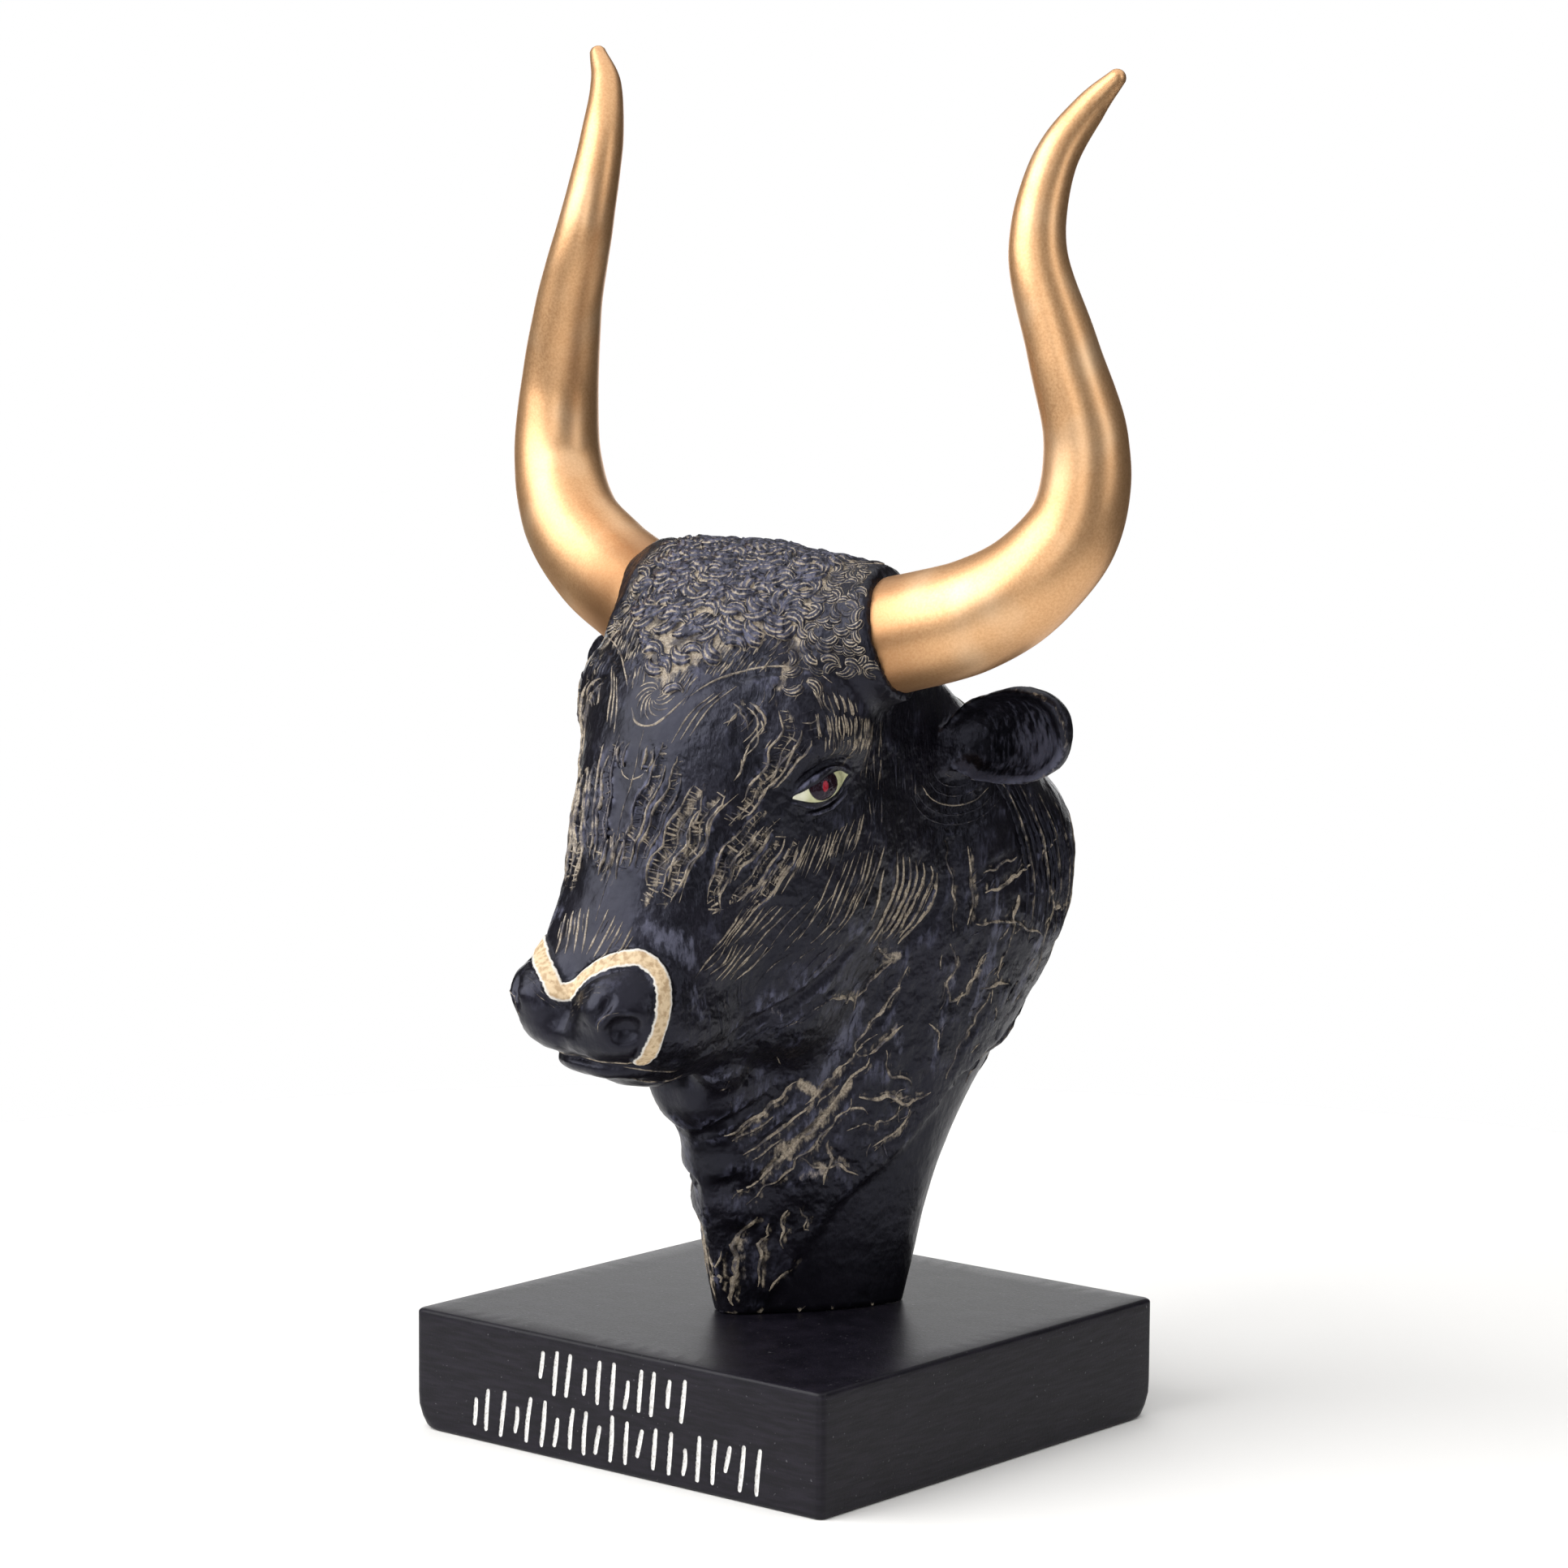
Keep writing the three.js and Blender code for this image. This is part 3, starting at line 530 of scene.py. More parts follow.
def with_swelling(field, p, form):
    """The body with a rounded form blended into it."""
    centre, radii, tilt, width = form
    return blend(field, ellipsoid(p, centre, radii, tilt), width)


def with_dent(field, p, form):
    """The body with a rounded form cut out of it."""
    centre, radii, tilt, width = form
    return carve(field, ellipsoid(p, centre, radii, tilt), width)


def skin_edge(points):
    """Height of the lower edge of the modelled skin, where each point is."""
    return np.interp(points[:, 1], SKIN_EDGE_Y, SKIN_EDGE_Z)


def neck_field(p):
    """Neck and dewlap, with the step down to the plain stem."""
    field = section_body(NECK, p[:, 2], p[:, 1], p[:, 0])
    for fold in DEWLAP_FOLDS:
        field = with_swelling(field, p, fold)
    rise = np.clip((skin_edge(p) - p[:, 2]) / SKIN_STEP_WIDTH + 0.5, 0, 1)
    return field + SKIN_STEP * rise * rise * (3 - 2 * rise)


def skull_field(p):
    """Skull, brows, eyes and cheeks."""
    dy, dz = p[:, 1] - POLL_Y, p[:, 2] - POLL_Z
    down = -dy * math.sin(FACE_TILT) - dz * math.cos(FACE_TILT)
    out = -dy * math.cos(FACE_TILT) + dz * math.sin(FACE_TILT)
    field = section_body(HEAD, down, out, p[:, 0])
    field = blend(field, bar(p, *POLL_BAR), POLL_BLEND)
    field = with_swelling(field, p, BROW)
    field = with_swelling(field, p, CHEEK)
    field = with_dent(field, p, EYE_SOCKET)
    return with_swelling(field, p, EYEBALL)


def muzzle_field(p, skull):
    """Nose lobes, nostrils, lips, chin and throat."""
    field = with_swelling(skull, p, NOSE_LOBE)
    field = with_swelling(field, p, UPPER_LIP)
    field = with_swelling(field, p, LIP_SIDE)
    field = blend(field, bar(p, *JAW_BAR), JAW_BLEND)
    field = carve(field, chain(p, MOUTH_LINE, MOUTH_RADIUS), MOUTH_BLEND)
    field = with_swelling(field, p, LOWER_LIP)
    field = with_swelling(field, p, CHIN)
    field = with_dent(field, p, NOSTRIL)
    field = carve(field, chain(p, NOSTRIL_SLIT, NOSTRIL_SLIT_RADIUS), NOSTRIL_SLIT_BLEND)
    field = with_swelling(field, p, THROAT)
    return with_swelling(field, p, THROAT_SIDE)


def from_seat_plane(p, right):
    """Distance out of the plane that the horn comes out of, which slants on the right side."""
    return np.where(right, (p - SLANT_POINT) @ SLANT_NORMAL, (p - SEAT) @ HORN_DIRECTION)


def seat_field(p, right):
    """Collar round the horn, closed by the plane that the horn comes out of."""
    inner = SEAT - COLLAR_LENGTH * HORN_DIRECTION
    outer = SEAT + COLLAR_REACH * HORN_DIRECTION
    side = bar(p, inner, outer, COLLAR_RADIUS, COLLAR_RADIUS)
    return blend_high(side, from_seat_plane(p, right), COLLAR_EDGE_BLEND)


def ear_axes():
    """The ear's own directions: to its tip, the way it faces, and up across it."""
    along = unit(EAR_TIP - EAR_ROOT)
    facing = unit(EAR_FACING - (EAR_FACING @ along) * along)
    across = np.cross(along, facing)
    return along, facing, across if across[2] > 0 else -across


def ear_share(u, v):
    """0 in the middle of the ear's leaf shape, 1 on its outline."""
    across = EAR_HALF_HEIGHT * (1 + EAR_WIDENING * u / EAR_HALF_LENGTH)
    v = v - EAR_BOW * u * np.abs(u) / EAR_HALF_LENGTH ** 2
    return (np.abs(u / EAR_HALF_LENGTH) ** 2.2 + np.abs(v / across) ** 2.1 + TINY) ** (1 / 2.15)


def ear_fields(p, right):
    """Cupped ear with a rolled rim, and the space in its cup; the right ear is longer and swings back."""
    stretch = np.where(right, RIGHT_EAR_STRETCH, 1)
    reach = (p[:, 0] - EAR_ROOT[0]) / stretch
    y = p[:, 1] + np.where(right, RIGHT_EAR_SWING, 0) * reach * stretch
    q = np.stack([EAR_ROOT[0] + reach, y, p[:, 2]], 1) - EAR_ROOT
    along, facing, across = ear_axes()
    u, v, depth = q @ along - EAR_HALF_LENGTH, q @ across - EAR_RAISE, q @ facing
    share = ear_share(u, v)
    cup_share = ear_share(u + EAR_CUP_SHIFT * np.clip(1 - share, 0, 1), v)
    behind = np.interp(share, EAR_SHARE, EAR_BACK) - depth
    cup = np.interp(cup_share, EAR_SHARE, EAR_CUP)
    cup = np.where(cup < 0, cup * np.clip(0.85 - 0.3 * u / EAR_HALF_LENGTH, 0.3, 0.98), cup)
    inside = (depth - cup) * 0.7
    edge = (share - 1) * EAR_EDGE_SLOPE
    ear = blend_high(blend_high(behind, edge, EAR_BACK_BLEND), inside, EAR_CUP_BLEND)
    opening = (cup_share - EAR_CUP_EDGE) * EAR_EDGE_SLOPE
    space = blend_high(-inside, opening, EAR_SPACE_BLEND)
    space = blend_high(space, depth - EAR_SPACE_DEPTH, EAR_SPACE_BLEND)
    return ear, space


def ear_painted_light_and_cream(points, normal):
    """Painted highlight in blue-grey on the lower and outer part of the hollow of the ear and on its lip,
    and cream along its rim, partly a painted highlight.
    """
    q = mirrored(points) - EAR_ROOT
    along, facing, across = ear_axes()
    front = (normal * [1, 0, 0] * np.sign(points[:, :1]) + normal * [0, 1, 1]) @ facing
    u, v = q @ along - EAR_HALF_LENGTH, q @ across - EAR_RAISE
    share = ear_share(u, v)
    inside = np.clip((0.9 - share) * 5, 0, 1)
    # Painted light: lighter towards the outer end and the lower side of the hollow, as if lit there
    lit = np.clip(0.45 + 0.35 * u / EAR_HALF_LENGTH - 0.3 * v / EAR_HALF_HEIGHT, 0, 1)
    lip = np.clip(1.6 - np.abs(share - 0.88) / 0.08, 0, 1)
    lip *= np.clip(0.3 - 1.6 * v / EAR_HALF_HEIGHT, 0, 1)
    inside, lit = np.maximum(inside, lip), np.maximum(lit, lip)
    # Cream along the rim, partly a painted highlight
    rim = np.clip(1 - np.abs(share - 0.96) / 0.06, 0, 1)
    on_front = (front > 0.1) & (np.abs(points[:, 0]) > 36)
    return np.where(on_front, inside * lit, 0), np.where(on_front, EAR_RIM_CREAM_AND_HIGHLIGHT * rim, 0)


def ear_root_field(p):
    """Base of the ear, where it grows out of the head behind the cup."""
    along, facing, _ = ear_axes()
    inner = EAR_ROOT - 4 * along - 5 * facing
    outer = EAR_ROOT + 6 * along - 7.5 * facing
    return bar(p, inner, outer, 9, 3.5)


def skin_field(points):
    """The bust without its ears, the same on both sides but for the horn seats."""
    right = points[:, 0] < 0
    p = mirrored(points)
    field = blend(neck_field(p), muzzle_field(p, skull_field(p)), THROAT_BLEND)
    return blend(field, seat_field(p, right), SEAT_BLEND)


def bust_field(points):
    """The whole bust, the ears and their cups too."""
    right = points[:, 0] < 0
    p = mirrored(points)
    field = blend(skin_field(points), ear_root_field(p), EAR_ROOT_BLEND)
    side, foot, top = EAR_BOX
    near_ear = (p[:, 0] > side) & (p[:, 2] > foot) & (p[:, 2] < top)
    if near_ear.any():
        ear, space = ear_fields(p[near_ear], right[near_ear])
        field[near_ear] = carve(blend(field[near_ear], ear, EAR_BLEND), space, EAR_RIM_BLEND)
    return field


def stand(points):
    """Bust frame to part frame: lean to the side about the foot, then shift."""
    x, y, z = points[:, 0], points[:, 1], points[:, 2] - PLINTH_HEIGHT
    cos, sin = math.cos(LEAN), math.sin(LEAN)
    return np.stack([x * cos + z * sin + SHIFT_X, y, PLINTH_HEIGHT - x * sin + z * cos], 1)


# Mesh of a field

def planes(low, high, near_ears):
    """Grid planes from low to high, closer together in the stretches near the ears."""
    at = [low]
    while at[-1] < high:
        close = any(first <= at[-1] < last for first, last in near_ears)
        at.append(at[-1] + (EAR_SPACING if close else SKIN_SPACING))
    return np.array(at)


def grid_values(field, grid):
    """Field values at the grid's points, a slab at a time."""
    size = [len(g) for g in grid]
    values = np.empty(size)
    yy, zz = np.meshgrid(grid[1], grid[2], indexing="ij")
    for first in range(0, size[0], GRID_SLAB):
        slab = grid[0][first:first + GRID_SLAB]
        x = np.repeat(slab, yy.size)
        y, z = np.tile(yy.ravel(), len(slab)), np.tile(zz.ravel(), len(slab))
        values[first:first + GRID_SLAB] = field(np.stack([x, y, z], 1)).reshape(len(slab), *yy.shape)
    return values


def surface_of(field, grid):
    """Points and triangles of the surface where the field is zero: one point in each cell it crosses."""
    values = grid_values(field, grid)
    inside = values < 0
    nx, ny, nz = np.array(values.shape) - 1
    count = sum(inside[i:nx + i, j:ny + j, k:nz + k].astype(int) for i, j, k in CORNERS)
    cells = np.stack(np.nonzero((count > 0) & (count < 8)), 1)
    number = -np.ones(count.shape, int)
    number[tuple(cells.T)] = np.arange(len(cells))
    low = np.stack([grid[n][cells[:, n]] for n in range(3)], 1)
    high = np.stack([grid[n][cells[:, n] + 1] for n in range(3)], 1)
    points = low + crossing_places(values, cells) * (high - low)
    return settle(field, points, 3), triangles_of(inside, number)


def crossing_places(values, cells):
    """Middle of the places where the surface crosses the edges of each cell, as shares of the cell."""
    total, crossings = np.zeros((len(cells), 3)), np.zeros(len(cells))
    for corner in CORNERS:
        for axis in range(3):
            if corner[axis]:
                continue
            other = list(corner)
            other[axis] = 1
            a, b = values[tuple((cells + corner).T)], values[tuple((cells + other).T)]
            crossed = (a < 0) != (b < 0)
            place = np.tile(np.array(corner, float), (len(cells), 1))
            place[:, axis] += a / np.where(crossed, a - b, 1)
            total[crossed] += place[crossed]
            crossings[crossed] += 1
    return total / crossings[:, None]


def triangles_of(inside, number):
    """Two triangles between the four cells round every step of the grid that crosses the surface."""
    size = inside.shape
    triangles = []
    for axis in range(3):
        u, v = (axis + 1) % 3, (axis + 2) % 3
        first = [slice(None)] * 3
        second = [slice(None)] * 3
        first[axis], second[axis] = slice(0, -1), slice(1, None)
        near, far = inside[tuple(first)], inside[tuple(second)]
        at = np.stack(np.nonzero(near != far), 1)
        at = at[(at[:, u] > 0) & (at[:, v] > 0) & (at[:, u] < size[u] - 1) & (at[:, v] < size[v] - 1)]
        quad = np.empty((len(at), 4), int)
        for n, (du, dv) in enumerate(((-1, -1), (0, -1), (0, 0), (-1, 0))):
            cell = at.copy()
            cell[:, u] += du
            cell[:, v] += dv
            quad[:, n] = number[tuple(cell.T)]
        flip = far[tuple(at.T)]
        quad[flip] = quad[flip][:, ::-1]
        triangles += [quad[:, [0, 1, 2]], quad[:, [0, 2, 3]]]
    return np.concatenate(triangles)


def slope_of(field, points):
    """Direction and steepness in which the field rises."""
    slope = np.zeros_like(points)
    for axis in range(3):
        shift = np.zeros(3)
        shift[axis] = SLOPE_STEP
        slope[:, axis] = (field(points + shift) - field(points - shift)) / (2 * SLOPE_STEP)
    return slope


def settle(field, points, passes):
    """Moves points onto the surface, by at most a small step each time."""
    for _ in range(passes):
        slope = slope_of(field, points)
        move = -slope * (field(points) / ((slope ** 2).sum(1) + SMALL))[:, None]
        length = np.linalg.norm(move, axis=1)
        points = points + move * np.minimum(1, LONGEST_MOVE / (length + TINY))[:, None]
    return points


def foot_height(points):
    """Height above the plane that the bust ends on."""
    return stand(points)[:, 2] - BUST_BOTTOM


def cut_flat(points, triangles):
    """Cuts the bust off flat above the plinth and closes it."""
    mesh = bpy.data.meshes.new("cut")
    mesh.from_pydata(points.tolist(), [], triangles.tolist())
    work = bmesh.new()
    work.from_mesh(mesh)
    normal = Vector((-math.sin(LEAN), 0, math.cos(LEAN)))
    middle = Vector((0, 0, PLINTH_HEIGHT + GAP / math.cos(LEAN)))
    everything = work.verts[:] + work.edges[:] + work.faces[:]
    bmesh.ops.bisect_plane(
        work, geom=everything, plane_co=middle, plane_no=normal, dist=CUT_SNAP, clear_inner=True)
    bmesh.ops.holes_fill(work, edges=[e for e in work.edges if e.is_boundary])
    bmesh.ops.triangulate(work, faces=[f for f in work.faces if len(f.verts) > 3])
    bmesh.ops.recalc_face_normals(work, faces=work.faces)
    work.to_mesh(mesh)
    work.free()
    cut_points = np.array([v.co for v in mesh.vertices])
    cut_triangles = np.array([p.vertices[:] for p in mesh.polygons])
    bpy.data.meshes.remove(mesh)
    return cut_points, cut_triangles


def split_long_edges(points, triangles, wanted):
    """Halves the edges that are longer than wanted at their middle, and the longest edge beside each."""
    a = triangles
    b = np.roll(triangles, -1, axis=1)
    pairs = np.sort(np.stack([a, b], 2).reshape(-1, 2), axis=1)
    edges, which = np.unique(pairs, axis=0, return_inverse=True)
    which = which.reshape(-1, 3)
    length = np.linalg.norm(points[edges[:, 0]] - points[edges[:, 1]], axis=1)
    middle = points[edges].mean(1)
    marked = length > wanted(middle)
    longest = which[np.arange(len(which)), length[which].argmax(1)]
    for _ in range(4):
        marked[longest[marked[which].any(1)]] = True
    new = np.full(len(edges), -1)
    new[marked] = len(points) + np.arange(marked.sum())
    return np.concatenate([points, middle[marked]]), split_triangles(triangles, new[which])


def split_triangles(triangles, halves):
    """Each triangle as one to four, depending on which of its edges have a new middle point."""
    count = (halves >= 0).sum(1)
    done = [triangles[count == 0]]
    t, h = triangles[count == 3], halves[count == 3]
    done += [np.stack(c, 1) for c in ((t[:, 0], h[:, 0], h[:, 2]), (h[:, 0], t[:, 1], h[:, 1]),
                                      (h[:, 2], h[:, 1], t[:, 2]), (h[:, 0], h[:, 1], h[:, 2]))]
    for turn in range(3):
        t, h = np.roll(triangles, -turn, axis=1), np.roll(halves, -turn, axis=1)
        one = (count == 1) & (h[:, 0] >= 0)
        done += [np.stack(c, 1)[one] for c in ((t[:, 0], h[:, 0], t[:, 2]), (h[:, 0], t[:, 1], t[:, 2]))]
        two = (count == 2) & (h[:, 2] < 0)
        done.append(np.stack([h[:, 0], t[:, 1], h[:, 1]], 1)[two])
        done += [np.stack(c, 1)[two] for c in ((t[:, 0], h[:, 0], h[:, 1]), (t[:, 0], h[:, 1], t[:, 2]))]
    return np.concatenate(done)


# Carving: the drawing functions below fill these lists, and lay() lays them on the skin

ribs = []
hollows = []


def smooth_line(points, step):
    """Points every step along a smooth curve through the given ones."""
    points = np.array(points, float)
    if len(points) == 2:
        count = max(2, int(np.linalg.norm(points[1] - points[0]) / step) + 1)
        return points[0] + np.linspace(0, 1, count)[:, None] * (points[1] - points[0])
    padded = np.concatenate([[2 * points[0] - points[1]], points, [2 * points[-1] - points[-2]]])
    line = []
    for n in range(len(points) - 1):
        a, b, c, d = padded[n:n + 4]
        count = max(2, int(np.linalg.norm(c - b) / step) + 1)
        s = np.linspace(0, 1, count, endpoint=False)[:, None]
        bend = (2 * a - 5 * b + 4 * c - d) * s ** 2 + (3 * b - a - 3 * c + d) * s ** 3
        line.append(0.5 * (2 * b + (c - a) * s + bend))
    return np.concatenate(line + [points[-1:]])


def rib(view, points, width, height=0.35, cream=0.6, taper=0.25, side=BOTH, tip=0.35):
    """Thin raised line that keeps cream paint; over the taper share its ends thin out to tip."""
    line = smooth_line(points, STROKE_STEP)
    share = np.linspace(0, 1, len(line))
    ends = np.clip(np.minimum(share, 1 - share) / max(taper, 1e-3), 0, 1) ** 0.6
    ribs.append({"view": view, "flat": line, "width": width * (tip + (1 - tip) * ends),
                 "height": height * (0.2 + 0.8 * ends), "cream": cream, "side": side})


def hollow(view, points, width, depth, cream=0.0, haze_and_highlight=0.0):
    """Broad groove with soft cream or blue-grey in it, or a swelling where depth is negative."""
    line = smooth_line(points, STROKE_STEP)
    share = np.linspace(0, 1, len(line))
    ends = np.clip(np.minimum(share, 1 - share) / 0.3, 0, 1) ** 0.7
    hollows.append({"view": view, "flat": line, "width": width * (0.5 + 0.5 * ends),
                    "height": depth * (0.15 + 0.85 * ends), "cream": cream, "haze_and_highlight": haze_and_highlight})


def beside(line, offset):
    """The line moved sideways by offset, which may change along it."""
    ahead = unit_rows(np.gradient(line, axis=0))
    return line + np.stack([-ahead[:, 1], ahead[:, 0]], 1) * np.reshape(offset, (-1, 1))


def lock(view, spine, half_width, cream, rungs=True):
    """Wavy lock of hair with ragged ends: three lines along it, and short ribs across between its edges."""
    line = smooth_line(spine, 1.0)
    share = np.linspace(0, 1, len(line))
    phase = random.uniform(0, 2 * math.pi)
    line = beside(line, 0.22 * half_width * np.sin(phase + np.arange(len(line)) / 1.6))
    swell = half_width * (0.55 + 0.45 * np.sin(math.pi * share))
    hollow(view, spine, 2.3 * half_width, LOCK_DEPTH, 0.45 * cream)
    for across in (1, 0.15, -1):
        first, last = random.integers(0, 1 + len(line) // 5, 2)
        edge = beside(line, across * swell) + random.normal(0, 0.09, line.shape)
        edge = edge[first:len(line) - last]
        if abs(across) == 1:
            hollow(view, edge, 2.4, -LOCK_EDGE_HEIGHT)
        rib(view, edge, 0.8, LOCK_RIB_HEIGHT, cream * random.uniform(0.5, 0.9))
    if not rungs:
        return
    outer, inner = beside(line, swell * 0.9), beside(line, -swell * 0.9)
    for n in range(1, len(line) - 1):
        slip, turn = random.normal(0, 0.2, 2), random.normal(0, 0.25, 2)
        reach = random.uniform(0.55, 1)
        far = inner[n] + (outer[n] - inner[n]) * reach
        rib(view, [far + slip + turn, inner[n] + slip - turn], random.uniform(0.6, 0.9), LOCK_RIB_HEIGHT,
            cream * random.uniform(0.3, 0.85), 0.1, tip=0.8)


def comb(view, start, end, count, fall, width=0.6, cream=0.5, wave=0.6):
    """Row of count ribs from start to end, each falling by fall, a little uneven."""
    start, end, fall = np.array(start, float), np.array(end, float), np.array(fall, float)
    for n in range(count):
        first = start + (end - start) * n / max(1, count - 1) + random.normal(0, 0.35, 2)
        reach = fall * random.uniform(0.75, 1.15)
        bend = np.array([-reach[1], reach[0]]) / np.linalg.norm(reach) * random.normal(0, wave)
        rib(view, [first, first + reach * 0.5 + bend, first + reach], width * random.uniform(0.8, 1.25),
            0.3 * random.uniform(0.7, 1.2), cream * random.uniform(0.5, 1.2), 0.4)


def crack(points, width, cream, view="side"):
    """Jagged line with a hollow beside it."""
    line = smooth_line(points, 2.4)
    line[1:-1] += random.normal(0, 0.4, line[1:-1].shape)
    hollow(view, beside(line, 0.9), 3.0, 0.55, 0.5 * cream)
    rib(view, line, width * random.uniform(1.0, 1.5), 0.4, 0.8 * cream, 0.35)


def whorl(view, centre, radius, arms, cream):
    """Hair turning round a crown."""
    for n in range(arms):
        start = 2 * math.pi * n / arms
        turn = [(start + 1.5 * s ** 0.8, radius * (0.22 + 0.78 * s)) for s in np.linspace(0, 1, 6)]
        arm = [(centre[0] + r * math.cos(a), centre[1] + r * math.sin(a)) for a, r in turn]
        rib(view, arm, 0.6, 0.3, cream * random.uniform(0.6, 1.2), 0.3, LEFT)
        other = [(2 * centre[0] - x, z) for x, z in arm]
        rib(view, other, 0.6, 0.3, cream * random.uniform(0.6, 1.2), 0.3, RIGHT)


def face_strokes():
    """Locks on the front of the face and between the brow and the nose."""
    lock("front", [(7.4, 176), (7.8, 169), (5.6, 160), (4.8, 152), (3.6, 145)], 1.7, 0.75)
    lock("front", [(12.2, 173), (12.2, 166), (10.2, 158), (8.6, 151), (7.6, 146)], 1.5, 0.75)
    lock("front", [(3.0, 176), (4.4, 171.6), (3.2, 167)], 1.1, 0.8, False)
    rib("front", [(0.2, 166.5), (2.6, 167.4), (4.6, 169.8)], 0.6, 0.3, 0.8)
    lock("front", [(18.6, 167), (16, 160), (15, 154), (12.8, 147), (11.8, 139)], 2.4, 1.15)
    lock("front", [(22.6, 166), (19.6, 160), (18.9, 153), (16.6, 147), (16.0, 139)], 1.6, 1.1)
    rib("front", [(25, 165.6), (21.4, 160), (20.8, 154), (18.6, 147.4), (18.2, 140)], 0.7, 0.35, 0.9)
    lock("front", [(1.8, 155), (1.2, 149), (2, 142)], 1.1, 0.85, False)
    rib("front", [(0.3, 178), (0.9, 168), (0.1, 158), (0.6, 146), (0.2, 134)], 0.45, 0.22, 0.5, side=LEFT)
    for n, x in enumerate((0.8, 3.2, 5.6, 8.4)):
        rib("front", [(x + 2.2, 137 - n), (x + 1.0, 131.6 - n), (x, 126.5 - 0.4 * n)], 0.7, 0.35, 0.85)
        rib("front", [(x + 3.0, 135 - n), (x + 1.9, 131 - n)], 0.5, 0.25, 0.6)
    for n in range(3):
        line = [(19.5 - 2.1 * n, 190 - n), (15.6 - 2.1 * n, 185 - n), (13 - 2 * n, 178 - n)]
        rib("front", line, 0.6, 0.3, 0.75)


def cheek_strokes():
    """Locks before the eye, hatching over the brow and fans of hair on the cheek."""
    lock("side", [(-44, 186), (-44.4, 179), (-46, 171.5), (-49.6, 165), (-54, 158)], 1.7, 1.0)
    lock("side", [(-46, 162), (-51, 156), (-54.6, 150), (-56.6, 143), (-57.6, 137)], 1.7, 1.05)
    lock("side", [(-43.6, 160), (-48, 154), (-52, 149), (-54.6, 144)], 1.4, 1.0)
    lock("side", [(-41.4, 156.5), (-44.6, 151), (-48.4, 145), (-53.6, 139)], 1.5, 1.0)
    lock("side", [(-41, 182.5), (-42.4, 176), (-44.4, 170.5), (-48, 165)], 1.2, 0.9, False)
    lock("side", [(-49.4, 188), (-48.2, 184), (-49.2, 180)], 1.2, 0.8, False)
    lock("side", [(-37.6, 155), (-40.4, 149.6), (-44, 143), (-49, 137)], 1.3, 0.95)
    comb("side", (-47.6, 183), (-51, 174), 5, (-2, -6), 0.8, 0.8)
    comb("side", (-42, 185), (-42.6, 178), 4, (3.6, 1.6), 0.6, 0.7)
    comb("side", (-38.5, 190), (-29, 188), 12, (0.6, -4.4), 0.7, 1.1, 0.3)
    comb("side", (-40, 185), (-22.5, 183), 20, (0.5, -5.2), 0.6, 0.95, 0.3)
    comb("side", (-38, 179.4), (-21, 178), 19, (0.6, -3.6), 0.55, 0.8, 0.3)
    comb("side", (-21.5, 182), (-12, 181), 9, (0.6, -17), 0.5, 0.5, 0.8)
    comb("side", (-19.5, 163), (-13, 164), 5, (-1.5, -14), 0.5, 0.4, 0.8)
    comb("side", (-6.5, 172), (2, 169), 5, (1, -9), 0.6, 0.3)
    comb("side", (-39.5, 153.5), (-19, 159), 19, (-3.2, -9.5), 0.65, 0.85)
    comb("side", (-38, 151), (-21, 155), 12, (-2.2, -5), 0.5, 0.7)
    comb("side", (-27, 148.5), (-12, 152), 10, (-5.5, -15), 0.6, 0.65)
    comb("side", (-46.5, 147), (-37, 149), 7, (-4.5, -8.5), 0.8, 0.95)
    comb("side", (-50, 139), (-38, 138), 9, (-7, -8.5), 0.85, 1.0)
    comb("side", (-33, 140), (-17, 141.5), 8, (-8.5, -12.5), 0.65, 0.7)
    comb("side", (-55, 130.5), (-40, 128.5), 10, (-7, -7), 0.75, 0.85)
    comb("side", (-34, 127), (-22, 128), 4, (-7, -8), 0.6, 0.5)


def brow_strokes():
    """Line over the brow, hair between it and the curls, and the crown on the forehead."""
    brow = [(9.4, 186.5), (14, 190.6), (20, 193.6), (27, 195), (33, 194.2), (36.5, 191.6)]
    rib("front", brow, 0.7, 0.35, 0.75)
    hollow("front", [(x - 0.3, z - 1.6) for x, z in brow], 2.4, 0.5)
    comb("front", (12, 194.5), (31, 198.6), 22, (-0.8, -3.2), 0.65, 0.75, 0.3)
    comb("front", (7, 199), (29, 202), 20, (-0.6, -3.8), 0.7, 0.85, 0.4)
    comb("front", (9, 196), (30, 200.4), 18, (-0.7, -2.6), 0.6, 0.6, 0.4)
    comb("front", (6, 193), (10.5, 190), 7, (-1.6, -4.6), 0.6, 0.7, 0.4)
    whorl("front", (0, 186), 5.8, 13, 0.9)
    arch = [(-6, 182.4), (-3.4, 179.6), (0, 178.8), (3.4, 179.8), (6.6, 183), (9.2, 187)]
    rib("front", arch, 0.8, 0.35, 0.85, side=LEFT)
    rib("front", [(6, 182.4), (3.4, 179.6), (0, 178.8)], 0.8, 0.35, 0.85, side=RIGHT)
    comb("front", (22, 190.5), (32, 191.5), 7, (0.4, -4.5), 0.5, 0.45, 0.5)
    comb("front", (21, 186), (30, 180), 8, (-2.4, -4.8), 0.6, 0.7, 0.5)


